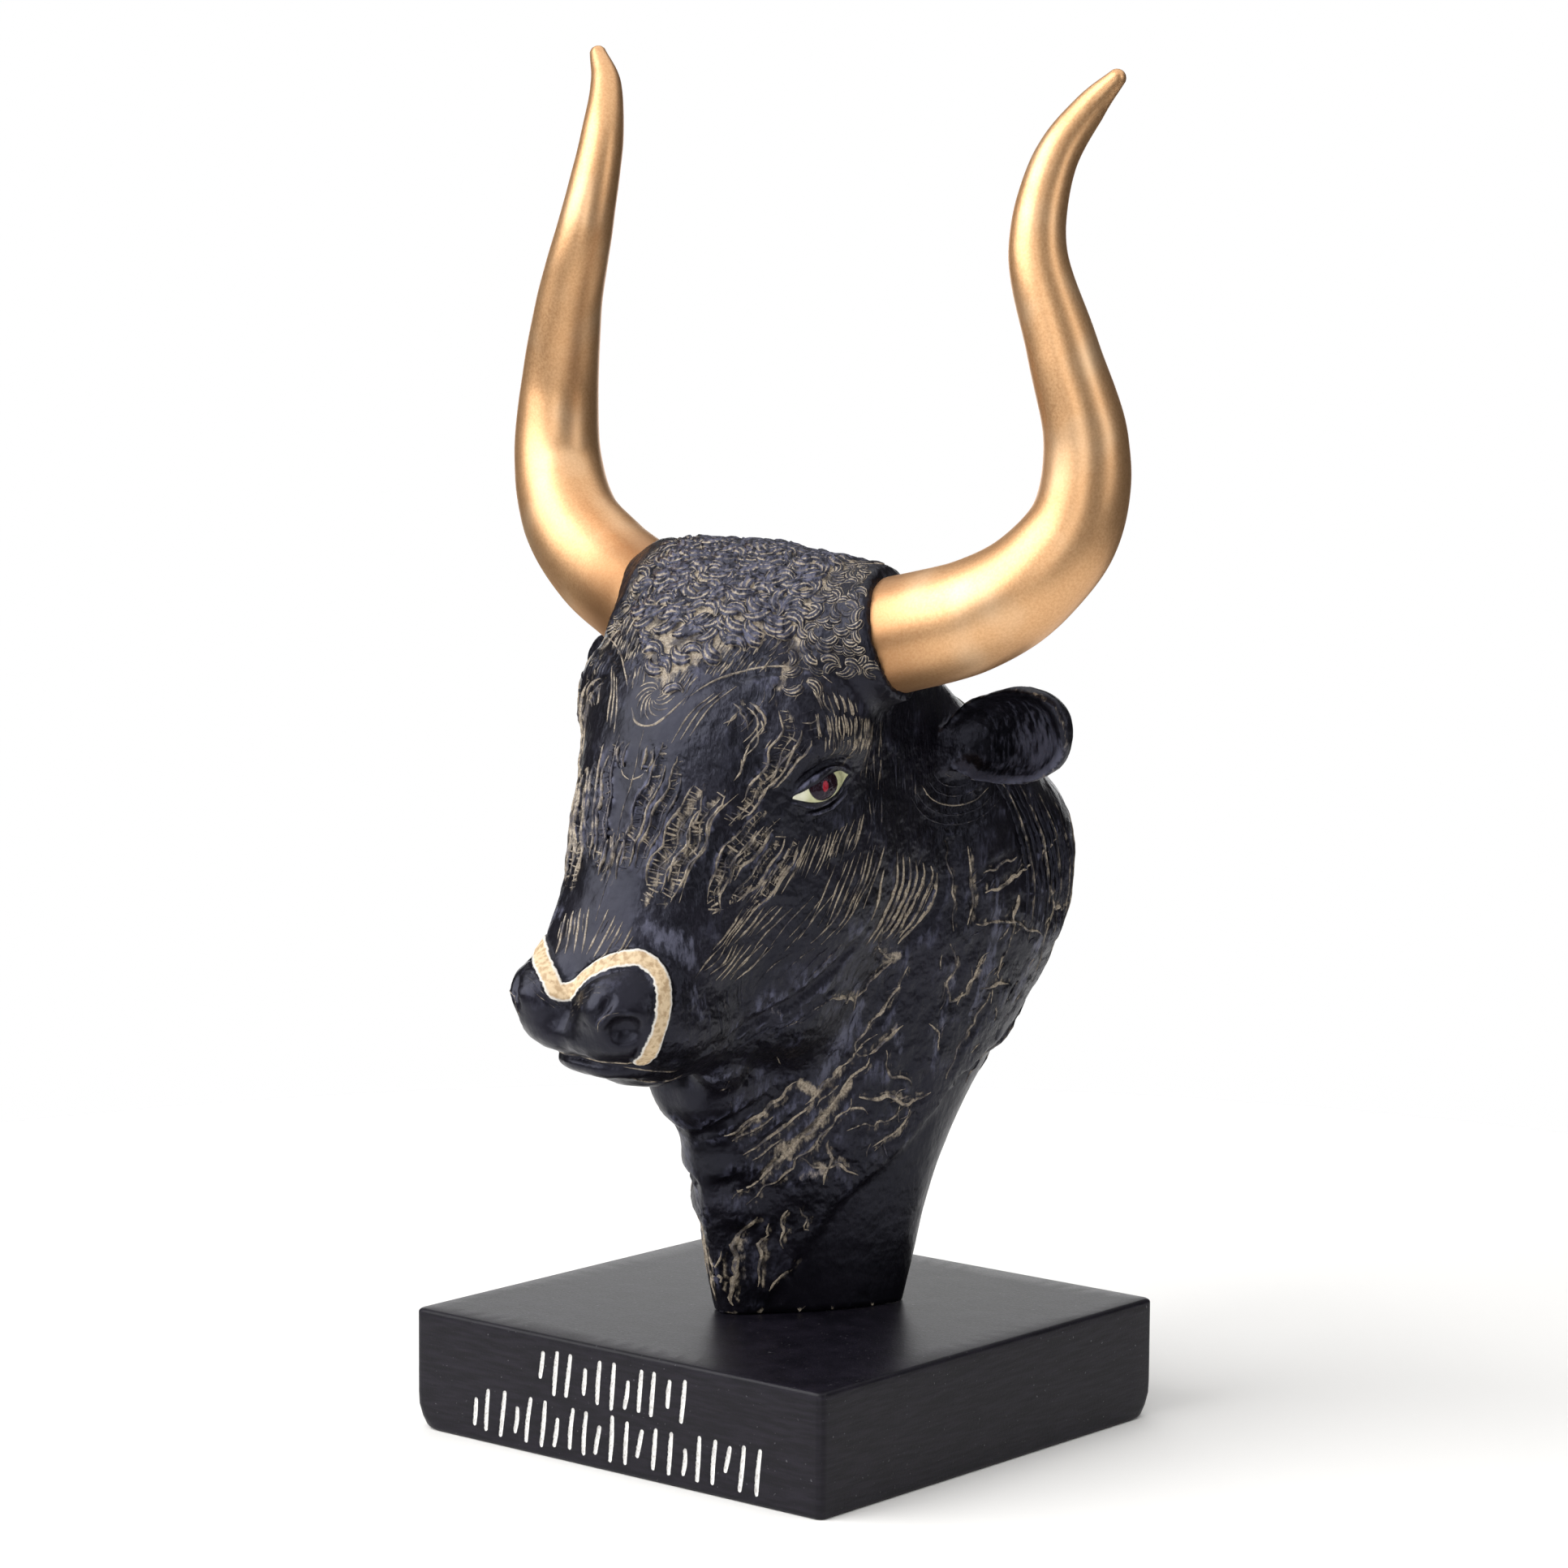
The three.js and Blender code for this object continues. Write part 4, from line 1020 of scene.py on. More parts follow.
def eye_lids():
    """Raised lids, the folds under them and the groove that parts them from the eyeball."""
    hollow("side", [(y, z + 0.8) for y, z in UPPER_LID], 2.6, -1.25)
    hollow("side", [(y, z + 2.9) for y, z in UPPER_LID], 1.6, 0.6)
    hollow("side", [(y, z - 0.6) for y, z in LOWER_LID], 1.9, -0.95)
    hollow("side", [(y + 0.3, z - 2.2) for y, z in LOWER_LID[1:]], 1.2, 0.5)
    hollow("side", [(y + 0.5, z - 3.2) for y, z in LOWER_LID[1:]], 1.7, -0.55)
    hollow("side", [(y + 0.8, z - 4.5) for y, z in LOWER_LID[1:]], 1.3, 0.5)
    hollow("side", [(-42.5, 164), (-44.6, 161.6), (-45.6, 158.6)], 1.8, 0.8)


def muzzle_strokes():
    """Wrinkles on the nose, the rim of the nostril, the lips and the crease at the corner of the mouth."""
    for n, gap in enumerate((3.9, 5.0, 6.2)):
        line = [(0, 117.6 - gap), (5, 121.6 - gap), (9.6, 124.6 - gap), (13.2, 125 - gap)]
        hollow("front", line[:4 - (n > 1)], 1.2, 0.35)
        rib("front", line[:4 - (n > 1)], 0.4, 0.18, 0.45)
    rim = [(12.2, 110.8), (13.2, 113.6), (14.9, 115.3), (17.2, 116.1)]
    hollow("front", rim, 1.8, -0.3)
    rib("front", rim, 0.4, 0.2, 0.6)
    for fold in ([(0, 76.6), (4, 77.8), (7.5, 79.9), (11, 82.5), (13.5, 85.7), (15.5, 90)],
                 [(2, 63.5), (6, 64.6), (9.5, 67.5)]):
        hollow("front", fold, 4.6, 1.5)
    rib("front", [(0, 102.6), (5, 102.4), (10, 102), (14, 101.6)], 0.55, 0.25, 0.7)
    rib("side", [(-72, 100.8), (-66, 99.6), (-60, 99.4)], 0.6, 0.25, 0.7)
    rib("side", [(-69, 97.6), (-62, 96.2), (-55, 97.2)], 0.5, 0.25, 0.5)
    comb("side", (-56, 117), (-46, 121), 5, (4, -9), 0.6, 0.3)
    hollow("side", [(-51, 104.5), (-42, 108.5), (-31, 114.6), (-21, 123), (-12.5, 133)], 4.2, 1.3)
    for n in range(5):
        start = (-47 + 5 * n, 103.5 + 2.6 * n)
        hollow("side", [start, (start[0] + 5, start[1] + 1.2), (start[0] + 10, start[1] + 4.4)], 1.7, 0.6)
    comb("side", (-44, 102.5), (-24, 111), 8, (6, 3.5), 0.6, 0.4)
    comb("side", (-37, 95), (-27, 98), 5, (4.5, -3), 0.6, 0.5)
    comb("side", (-41, 96), (-35, 88), 6, (1.4, -3.6), 0.4, 0.5)


def jaw_strokes():
    """Locks behind the jaw and wrinkles under the ear."""
    for n in range(6):
        y = -6 + 2.9 * n
        line = [(y, 149 - n), (y + 0.8, 141), (y - 2.4, 132.5), (y - 6.6, 126.5)]
        hollow("side", [(a + 1.2, b) for a, b in line], 2.2, 0.7)
        rib("side", line, 0.9, 0.45, 0.9)
        rib("side", [(y + 1.0, 145 - n), (y + 1.7, 139), (y - 0.9, 132)], 0.5, 0.3, 0.6)
    hollow("side", [(12.4, 143), (12.2, 135), (8.4, 129), (2.5, 124.5)], 4.0, 1.0)
    rib("side", [(11, 142), (10.8, 135), (7, 129.4), (1.5, 125)], 2.2, 0.4, 0.85, 0.4)
    rib("side", [(-11, 146), (-11.6, 139), (-13.4, 133)], 1.6, 0.3, 0.75, 0.4)
    for n in range(6):
        radius = 6.5 + 2.7 * n
        arc = [(16.5 + radius * math.cos(a), 169.5 + 0.85 * radius * math.sin(a))
               for a in np.linspace(3.7, 5.5, 6)]
        hollow("side", arc, 1.9, 0.55)
        rib("side", [(y + 0.4, z + 1.0) for y, z in arc], 0.5, 0.3, 0.8 if n in (0, 3) else 0.35, 0.35)


def flecks():
    """Short scattered cuts over the side of the neck, mostly upright, with cream in them."""
    for _ in range(FLECKS):
        y = random.uniform(-14, 58)
        foot = np.interp(y, SKIN_EDGE_Y, SKIN_EDGE_Z)
        z = random.uniform(foot + 3, 146)
        turn = random.normal(math.radians(62), 0.5)
        reach = random.uniform(1.5, 3.2) * np.array([math.cos(turn), math.sin(turn)])
        bend = random.normal(0, 0.6, 2)
        line = [(y - reach[0], z - reach[1]), (y + bend[0], z + bend[1]), (y + reach[0], z + reach[1])]
        hollow("side", line, 2.4, 0.4)
        rib("side", line, random.uniform(0.6, 1.1), 0.35, random.uniform(0.2, 0.75), 0.4)


def neck_strokes():
    """Patches and cracks over the neck, folds to the chest, grooves at the foot, and hair on the nape."""
    for line, width, cream, haze_and_highlight in SMUDGES:
        hollow("side", line, width, 0, cream=cream, haze_and_highlight=haze_and_highlight)
    flecks()
    for n, line in enumerate(NECK_CRACKS):
        crack(line, 0.9 + 0.5 * (n % 3 == 0), 1.0 - 0.25 * (n % 2))
    for line, width in CHEST_FOLDS:
        hollow("side", line, width, 0.25 * width)
        crack([(y - 0.6, z - 0.8) for y, z in line], 1.4, 1.0)
        crack([(y + 1.6, z - 2.2) for y, z in line[1:]], 0.8, 0.8)
    for line, width in FOOT_GROOVES:
        crack(line, width, 1.1)
    for n in range(12):
        top = 166 - 1.1 * n
        start = 27 + 3.0 * n
        nape = [(start, top), (start + 8 - 0.3 * n, top - 12), (start + 13 - 0.5 * n, top - 27),
                (start + 14 - 0.6 * n, 122)]
        hollow("side", nape, 2.2, 0.7)
        rib("side", [(y + 1.2, z) for y, z in nape], 0.7, 0.3, 0.2 + 0.3 * (n % 3 == 1), 0.35)
    for n in range(7):
        x = 2.5 + 4.6 * n
        low = [(x * 0.75, 160 - n), (x, 146), (x * 1.04, 130), (x * 0.96, 112)]
        high = [(x * 0.6 + 1, 190 - n), (x * 0.7 + 1, 178), (x * 0.75 + 1, 166)]
        for line in (low, high):
            hollow("back", line, 2.4, 0.7)
            rib("back", [(a + 1.2, b) for a, b in line], 0.7, 0.3, 0.55, 0.35)
        crack([(x, 104), (x + 1.4, 97), (x + 0.4, 92 - n)], 0.8, 0.6, view="back")


def march(points, inward, passes, share):
    """Points moved inward from outside the bust until they meet its skin, by a share of the way left."""
    for _ in range(passes):
        points = points + inward * np.clip(skin_field(points), -2, 8)[:, None] * share
    return points


def lay(drawn):
    """Lays drawn lines on the skin: moves their points from outside towards the bust until they meet it."""
    for view, (axes, outside, inward) in VIEWS.items():
        here = [s for s in drawn if s["view"] == view]
        if not here:
            continue
        points = np.concatenate([s["flat"] for s in here]) @ axes + outside
        points = march(points, inward, 60, 0.8)
        landed = np.abs(skin_field(points)) < LANDED_WITHIN
        first = 0
        for s in here:
            last = first + len(s["flat"])
            s["path"], s["landed"] = points[first:last], landed[first:last]
            first = last


def runs_of(line):
    """Unbroken stretches of a laid line, as the numbers of their first and last point."""
    jump = np.linalg.norm(np.diff(line["path"], axis=0), axis=1) > LONGEST_JUMP
    linked = line["landed"][:-1] & line["landed"][1:] & ~jump
    edges = np.flatnonzero(np.diff(np.concatenate([[0], linked.astype(int), [0]])))
    return list(zip(edges[::2], edges[1::2]))


def rows_of(drawn):
    """Laid lines as tables of short stretches, with the columns listed above."""
    rows = []
    for line in drawn:
        traits = [line["cream"], line["haze_and_highlight"]]
        for first, last in runs_of(line):
            run = slice(first, last + 1)
            rows.append(row_of(line["path"][run], line["width"][run] / 2, line["height"][run], traits))
    return rows


def row_of(path, half, depth, traits):
    """Table of the stretches of one line."""
    ends = np.concatenate([path[:-1], path[1:]], 1)
    sizes = np.stack([half[:-1], half[1:], depth[:-1], depth[1:]], 1)
    return np.concatenate([ends, sizes, np.tile(traits, (len(path) - 1, 1))], 1)


class Finder:
    """Finds the points near a place quickly, from a list sorted by height."""

    def __init__(self, points):
        self.order = np.argsort(points[:, 2])
        self.points = points[self.order]
        self.height = self.points[:, 2].copy()

    def near(self, row, reach):
        """Numbers and places of the points in a box that goes reach beyond a piece of line."""
        low = np.minimum(row[:, START], row[:, END]).min(0) - reach
        high = np.maximum(row[:, START], row[:, END]).max(0) + reach
        first, last = np.searchsorted(self.height, [low[2], high[2]])
        slab = self.points[first:last]
        keep = ((slab[:, :2] > low[:2]) & (slab[:, :2] < high[:2])).all(1)
        return self.order[first:last][keep], slab[keep]


def in_pieces(rows, size):
    """The tables of lines in pieces of at most size stretches."""
    for row in rows:
        for first in range(0, len(row), size):
            yield row[first:first + size]


def nearest_on(points, row):
    """Distance from each point to a piece of line, and the half width and depth there."""
    along = row[:, END] - row[:, START]
    offset = points[:, None] - row[:, START][None]
    s = np.clip((offset * along).sum(2) / ((along ** 2).sum(1) + TINY), 0, 1)
    distance = np.linalg.norm(offset - s[..., None] * along, axis=2)
    best = distance.argmin(1)
    pick = np.arange(len(points))
    s = s[pick, best]
    (half_a, half_b), (depth_a, depth_b) = row[best, HALF].T, row[best, DEPTH].T
    return distance[pick, best], half_a + (half_b - half_a) * s, depth_a + (depth_b - depth_a) * s


def carve_depths(points, rows):
    """How deep the hollows are at every point, how high the swellings, and the cream and the haze and
    painted highlight there.
    """
    groove, swelling, cream, haze_and_highlight = (np.zeros(len(points)) for _ in range(4))
    finder = Finder(mirrored(points))
    for row in in_pieces(rows, LINE_PIECE):
        which, near = finder.near(row, max(row[:, HALF].max(), 0.5))
        if not len(which):
            continue
        distance, half, depth = nearest_on(near, row)
        dip = np.clip(1 - (distance / half) ** 2, 0, 1) ** 1.5
        groove[which] = np.maximum(groove[which], np.maximum(depth, 0) * dip)
        swelling[which] = np.maximum(swelling[which], np.maximum(-depth, 0) * dip)
        cream[which] = np.maximum(cream[which], row[0, CREAM] * dip)
        haze_and_highlight[which] = np.maximum(haze_and_highlight[which], row[0, HAZE_AND_HIGHLIGHT] * dip)
    return groove, swelling, cream, haze_and_highlight


def even_steps(path, step, *along):
    """The path and the values along it again, at even steps."""
    length = np.concatenate([[0], np.cumsum(np.linalg.norm(np.diff(path, axis=0), axis=1))])
    at = np.linspace(0, length[-1], max(2, int(round(length[-1] / step)) + 1))
    places = np.stack([np.interp(at, length, path[:, n]) for n in range(3)], 1)
    return [places] + [np.interp(at, length, value) for value in along]


def rib_runs():
    """Unbroken runs of the ribs at even steps: path, half width, height and cream along it, and side."""
    runs = []
    for line in ribs:
        for first, last in runs_of(line):
            part = slice(first, last + 1)
            half, height = line["width"][part] / 2, line["height"][part]
            path, half, height = even_steps(line["path"][part], RIB_STEP, half, height)
            runs.append((path, half, height, np.full(len(path), line["cream"]), line["side"]))
    return runs


def rib_sheets(surface):
    """Points, triangles, cream and height of all the ribs, on both sides of the head."""
    runs = rib_runs()
    sizes, sides = [len(run[0]) for run in runs], [run[4] for run in runs]
    middle, half, height, cream = (np.concatenate([run[n] for run in runs]) for n in range(4))
    half = half * (1 + 0.45 * lumps(middle, 2.6, 1))
    ahead = unit_rows(np.concatenate([np.gradient(run[0], axis=0) for run in runs]))
    across = unit_rows(np.cross(ahead, facing_of(skin_field, middle)))
    points = np.stack([middle + across * (share * half)[:, None] for share in (-1, 0, 1)], 1)
    sunk = np.full(len(height), -RIB_SINK)
    up = np.stack([sunk, height, sunk], 1)
    kept_cream = np.stack([0.55 * cream, cream, 0.55 * cream], 1)
    return place_sheets(surface, points, up, kept_cream, sizes, sides, 3)


def place_sheets(surface, points, up, cream, sizes, sides, columns):
    """Sets sheets of several columns on the carved skin, on the side of the head that each is for."""
    flat = points.reshape(-1, 3)
    flat = settle(skin_field, flat, 2)
    keep = eye_opening(flat) < -0.2
    all_points, all_values, all_triangles = [], [], []
    count = 0
    for side in (LEFT, RIGHT):
        there = flat * [side, 1, 1]
        base, normal = surface(there)
        all_points.append(base + normal * up.reshape(-1, 1))
        all_values.append(np.stack([cream.ravel(), up.ravel(), np.zeros(up.size)], 1))
        first = 0
        for size, only in zip(sizes, sides):
            if only in (BOTH, side) and keep[first * columns:(first + size) * columns].all():
                all_triangles.append(sheet_triangles(size, columns, side) + first * columns + count)
            first += size
        count += len(flat)
    points, triangles = np.concatenate(all_points), np.concatenate(all_triangles)
    return drop_unused(points, triangles, np.concatenate(all_values))


def sheet_triangles(rows, columns, side):
    """Triangles of a sheet of points in rows, facing outwards."""
    i, j = np.meshgrid(np.arange(rows - 1), np.arange(columns - 1), indexing="ij")
    a = (i * columns + j).ravel()
    b, c, d = a + 1, a + columns + 1, a + columns
    made = np.concatenate([np.stack([a, b, c], 1), np.stack([a, c, d], 1)])
    return made[:, ::-1] if side > 0 else made


def drop_unused(points, triangles, values):
    """Only the points that a triangle uses, with the triangles renumbered."""
    used, again = np.unique(triangles, return_inverse=True)
    return points[used], again.reshape(-1, 3), values[used]


def facing_of(field, points):
    """The way that the surface of a field faces, at each point."""
    return unit_rows(slope_of(field, points))


def poll_place(x, angle):
    """Points on the poll at x and at an angle round it, from the forehead over the top to the nape."""
    outward = np.stack([np.zeros_like(x), -np.cos(angle), np.sin(angle)], 1)
    return march(POLL_AXIS + x[:, None] * [1, 0, 0] + outward * 45, -outward, 50, 0.7)


def curls_start(x):
    """The curls reach lower on the middle of the forehead and under the horns than between."""
    middle = np.clip(1 - np.abs(x) / 22, 0, 1)
    outer = np.clip((np.abs(x) - 25) / 4, 0, 1)
    return CURLS_START - math.radians(24) * middle - math.radians(30) * outer


def tuft_leaf():
    """A curl laid flat: places, height and cream, row by row from its root to its tip."""
    s, t = np.meshgrid(np.linspace(0, 1, TUFT_ROWS), np.linspace(-1, 1, TUFT_COLUMNS), indexing="ij")
    radius = TUFT_LENGTH / TUFT_BEND
    angle = (s - 0.5) * TUFT_BEND * (1 + 0.25 * s)
    width = TUFT_HALF_WIDTH * np.sin(math.pi * s ** 0.62) ** 0.8
    reach = radius * (1 - 0.15 * s) + t * width
    flat = np.stack([reach * np.cos(angle) - radius * 0.75, reach * np.sin(angle)], -1)
    dome = (1 - t ** 2) ** 0.5 * (0.25 + 0.75 * np.sin(math.pi * s ** 0.8) ** 0.9)
    valley = np.arange(TUFT_COLUMNS) % 2 == 0
    edge = (np.abs(t) > 0.99) | (s < 0.01) | (s > 0.99)
    height = np.where(edge, -0.4, TUFT_HEIGHT * dome * np.where(valley, 0.6, 1))
    cream = np.where(edge, 1.1, np.where(valley, 0.7, 0.0))
    return flat, height, cream


def tuft_places():
    """Where the curls stand: x and angle over the poll."""
    places = []
    rows = int(POLL_RADIUS * (CURLS_END - CURLS_START) / TUFT_ROW_SPACING)
    columns = np.arange(-CURLS_HALF_WIDTH, CURLS_HALF_WIDTH + 0.1, TUFT_SPACING)
    for n in range(-ROWS_DOWN_FOREHEAD, rows):
        angle = CURLS_START + (CURLS_END - CURLS_START) * (n + 0.5) / rows
        for x in columns + (n % 2) * TUFT_SPACING / 2:
            if angle > curls_start(x):
                places.append((x + random.normal(0, 0.6), angle + random.normal(0, 0.03)))
    return np.array(places).T


def tuft_roots():
    """x and middle of each curl on the poll, short of the rims of the horns' collars."""
    x, angle = tuft_places()
    centre = poll_place(x, angle)
    to_rim = from_seat_plane(mirrored(centre), centre[:, 0] < 0)
    kept = (to_rim < -TUFT_CLEARANCE) & (np.abs(skin_field(centre)) < 0.5)
    return x[kept], centre[kept]


def tuft_sheets(surface):
    """The curls set over the poll, turned and sized unevenly."""
    x, centre = tuft_roots()
    normal = facing_of(skin_field, centre)
    down = np.cross([1.0, 0, 0], normal)
    down /= np.linalg.norm(down, axis=1)[:, None]
    across = np.cross(normal, down)
    turn = random.normal(0, 0.6, len(centre))
    turn = turn + np.where(random.random(len(centre)) < TUFTS_TURNED, math.pi, 0) + math.pi / 2
    outer = np.clip((np.abs(x) - 23) / 6, 0, 1)
    size = random.uniform(0.8, 1.2, len(centre)) * (1 - 0.35 * outer)
    flat, height, cream = tuft_leaf()
    cos, sin = (np.cos(turn) * size)[:, None, None], (np.sin(turn) * size)[:, None, None]
    u, v = flat[..., 0] * cos - flat[..., 1] * sin, flat[..., 0] * sin + flat[..., 1] * cos
    sideways, onwards = u[..., None] * across[:, None, None], v[..., None] * down[:, None, None]
    points = centre[:, None, None] + sideways + onwards
    base, normal = surface(settle(skin_field, points.reshape(-1, 3), 2))
    lift = height[None] * (size * (1 - 0.45 * outer))[:, None, None]
    triangles = sheet_triangles(TUFT_ROWS, TUFT_COLUMNS, 1)
    triangles = np.concatenate([triangles + n * TUFT_ROWS * TUFT_COLUMNS for n in range(len(size))])
    # The curls' height also sets their blue-grey crests, partly a painted highlight
    values = np.stack([np.tile(cream.ravel(), len(size)), 0.34 * lift.ravel(), np.zeros(lift.size)], 1)
    return base + normal * lift.reshape(-1, 1), triangles, values


def seat_side(points):
    """Distance from the rim of the horn's collar, seen along the horn."""
    return np.linalg.norm(np.cross(mirrored(points) - SEAT, HORN_DIRECTION), axis=1) - COLLAR_RADIUS


def band_row():
    """Table of the middle line of the pale band, laid on the skin."""
    other_side = [(2 * BAND_MIDDLE - x, y, z) for x, y, z in BAND_LINE[:0:-1]]
    line = settle(skin_field, smooth_line(other_side + BAND_LINE, STROKE_STEP), 4)
    return row_of(line, np.full(len(line), BAND_HALF_WIDTH), np.ones(len(line)), [0, 0])


def band_distance(points, row):
    """Distance from the middle of the pale band, as far as it matters."""
    distance = np.full(len(points), BAND_FAR)
    finder = Finder(points)
    for part in in_pieces([row], LINE_PIECE):
        which, near = finder.near(part, BAND_FAR)
        if len(which):
            distance[which] = np.minimum(distance[which], nearest_on(near, part)[0])
    return distance


def eye_opening(points):
    """How far inside the opening between the lids each point lies, below zero outside."""
    p = mirrored(points)
    upper, lower = smooth_line(UPPER_LID, 0.5), smooth_line(LOWER_LID, 0.5)
    over = np.interp(p[:, 1], upper[:, 0], upper[:, 1]) - p[:, 2]
    under = p[:, 2] - np.interp(p[:, 1], lower[:, 0], lower[:, 1])
    ends = np.minimum(p[:, 1] - EYE_INNER_Y, EYE_OUTER_Y - p[:, 1])
    inside = np.minimum(np.minimum(over, under), ends)
    return np.where(p[:, 0] > 28, np.maximum(inside, -4), -4)


def wanted_edge(rows, band):
    """Function that gives the longest edge wanted at each point."""
    def wanted(points):
        """Short in the hollows, at the rims of the band and the collars and in the fine places."""
        edge = np.full(len(points), PLAIN_EDGE)
        p = mirrored(points)
        finder = Finder(p)
        for row in in_pieces([row for row in rows if np.abs(row[:, DEPTH]).max() > 0.2], WIDE_PIECE):
            reach = row[:, HALF].max() * 1.1 + 0.3
            which, near = finder.near(row, reach)
            if not len(which):
                continue
            close = which[nearest_on(near, row)[0] < reach]
            edge[close] = np.minimum(edge[close], CARVED_EDGE)
        in_band = np.abs(band_distance(points, band) - BAND_HALF_WIDTH) < 0.8
        edge[in_band] = np.minimum(edge[in_band], BAND_EDGE)
        for centre, radius, length in FINE_PLACES:
            close = np.linalg.norm(p - centre, axis=1) < radius
            edge[close] = np.minimum(edge[close], length)
        rim = (np.abs(seat_side(points) + 0.6) < 1.6) & (p[:, 0] > 26)
        edge[rim] = np.minimum(edge[rim], COLLAR_EDGE)
        return edge
    return wanted


def curl_patch(points):
    """1 where the curls lie, 0 away from them."""
    angle = np.arctan2(points[:, 2] - POLL_AXIS[2], -(points[:, 1] - POLL_AXIS[1]))
    inside = np.minimum(angle - curls_start(points[:, 0]), CURLS_END - angle) * 25
    inside = np.minimum(inside, 30 - np.abs(points[:, 0]))
    return np.clip(np.minimum(inside, points[:, 2] - 183) / 3 + 0.5, 0, 1)


def lumps(points, size, octaves=3):
    """Soft uneven noise between about -1 and 1."""
    scale = 1.0 / size
    return np.array([noise.fractal(Vector(p) * scale, 0.9, 2.1, octaves) for p in points])


def smoothed(values, triangles, passes):
    """Values averaged with their neighbours over the mesh."""
    a, b = triangles.ravel(), np.roll(triangles, -1, axis=1).ravel()
    count = np.bincount(a, minlength=len(values)) + np.bincount(b, minlength=len(values))
    for _ in range(passes):
        total = np.bincount(a, values[b], len(values)) + np.bincount(b, values[a], len(values))
        values = 0.4 * values + 0.6 * total / np.maximum(count, 1)
    return values


def skin_move(points, rows, band):
    """How far the carved skin stands off the plain form at each point, and the cream and the haze and
    painted highlight on it.
    """
    groove, swelling, cream, haze_and_highlight = carve_depths(points, rows)
    opening, distance, patch = eye_opening(points), band_distance(points, band), curl_patch(points)
    foot = np.clip(foot_height(points) / 2.5, 0, 1)
    stem = skin_edge(points) > points[:, 2] + 1
    open_skin = np.clip(1 - opening / 0.4, 0, 1) * foot
    in_band = np.clip((BAND_HALF_WIDTH + 0.35 - distance) / 0.7, 0, 1)
    move = (swelling - groove) * open_skin * (1 - in_band) * (1 - patch)
    move += BAND_HEIGHT * in_band - CURL_BED_DEPTH * patch
    move -= BAND_SIDE_DEPTH * np.clip(1 - np.abs(distance - BAND_HALF_WIDTH - 0.9) / 0.6, 0, 1)
    rough = open_skin * np.where(stem, 0.25, 1.0)
    move += rough * SKIN_LUMP_HEIGHT * lumps(points, SKIN_LUMP_SIZE)
    return move, np.maximum(cream * open_skin, CURL_BED_CREAM * patch), haze_and_highlight * open_skin * (1 - patch)


def plain_bust():
    """Points and triangles of the bust before it is carved, cut off flat and smoothed on the ears."""
    points, triangles = surface_of(bust_field, [planes(*axis) for axis in GRID])
    points, triangles = cut_flat(points, triangles)
    ear = (np.abs(points[:, 0]) > 37) & (points[:, 2] < 198)
    points[ear] = np.stack([smoothed(values, triangles, 2) for values in points.T], 1)[ear]
    return points, triangles


def draw_carving():
    """Draws every stroke of the carving and lays it on the skin."""
    for draw in (face_strokes, cheek_strokes, brow_strokes, eye_lids,
                 muzzle_strokes, jaw_strokes, neck_strokes):
        draw()
    lay(ribs)
    lay(hollows)


def bust_shape():
    """Points, triangles and paint values of the carved bust, in the bust frame."""
    points, triangles = plain_bust()
    draw_carving()
    rows = rows_of(hollows)
    band = band_row()
    wanted = wanted_edge(rows, band)
    for _ in range(3):
        before = len(points)
        points, triangles = split_long_edges(points, triangles, wanted)
        points[before:] = settled_skin(points[before:])

    def surface(places):
        """Place on the carved skin and the way that it faces."""
        normal = facing_of(skin_field, places)
        return places + normal * skin_move(places, rows, band)[0][:, None], normal

    return joined([skin(points, triangles, rows, band), rib_sheets(surface), tuft_sheets(surface)])


def settled_skin(points):
    """New points moved onto the skin, but for those on the flat underside."""
    height = foot_height(points)
    on_skin = np.abs(bust_field(points)) < 1.2
    moved = points.copy()
    moved[on_skin] = settle(bust_field, points[on_skin], 2)
    sunk = height < 0.05
    moved[sunk, 2] += height[sunk] - foot_height(moved)[sunk]
    return moved


def skin(points, triangles, rows, band):
    """The carved skin itself, with the cream, the relief, and the haze and painted highlight at each of its
    points.
    """
    normal = facing_of(bust_field, points)
    move, cream, haze_and_highlight = skin_move(points, rows, band)
    height = foot_height(points)
    move[(height < 0.04) & (np.abs(bust_field(points)) > 0.3)] = 0
    relief = move - smoothed(move, triangles, 14)
    cream = np.maximum(cream, 0.8 * np.clip(1 - height / 0.7, 0, 1) * (height > 0.02))
    # Painted highlight in the ear's hollow, and cream on its rim
    ear_painted_light, ear_rim_cream_and_highlight = ear_painted_light_and_cream(points, normal)
    haze_and_highlight, cream = np.maximum(haze_and_highlight, ear_painted_light), np.maximum(cream, ear_rim_cream_and_highlight)
    return points + normal * move[:, None], triangles, np.stack([cream, relief, haze_and_highlight], 1)


def joined(parts):
    """Several sets of points, triangles and values as one."""
    first = np.cumsum([0] + [len(part[0]) for part in parts])
    points = np.concatenate([part[0] for part in parts])
    triangles = np.concatenate([part[1] + n for part, n in zip(parts, first)])
    return points, triangles, np.concatenate([part[2] for part in parts])


def new_piece(name, points, triangles, values):
    """Mesh object in metres from points in millimetres, with named values on its points."""
    mesh = bpy.data.meshes.new(name)
    mesh.from_pydata((points * MM).tolist(), [], triangles.tolist())
    mesh.validate()
    for key, value in values.items():
        mesh.attributes.new(key, "FLOAT", "POINT").data.foreach_set("value", value.astype(np.float32))
    mesh.shade_smooth()
    piece = bpy.data.objects.new(name, mesh)
    bpy.context.scene.collection.objects.link(piece)
    return piece


# Horns

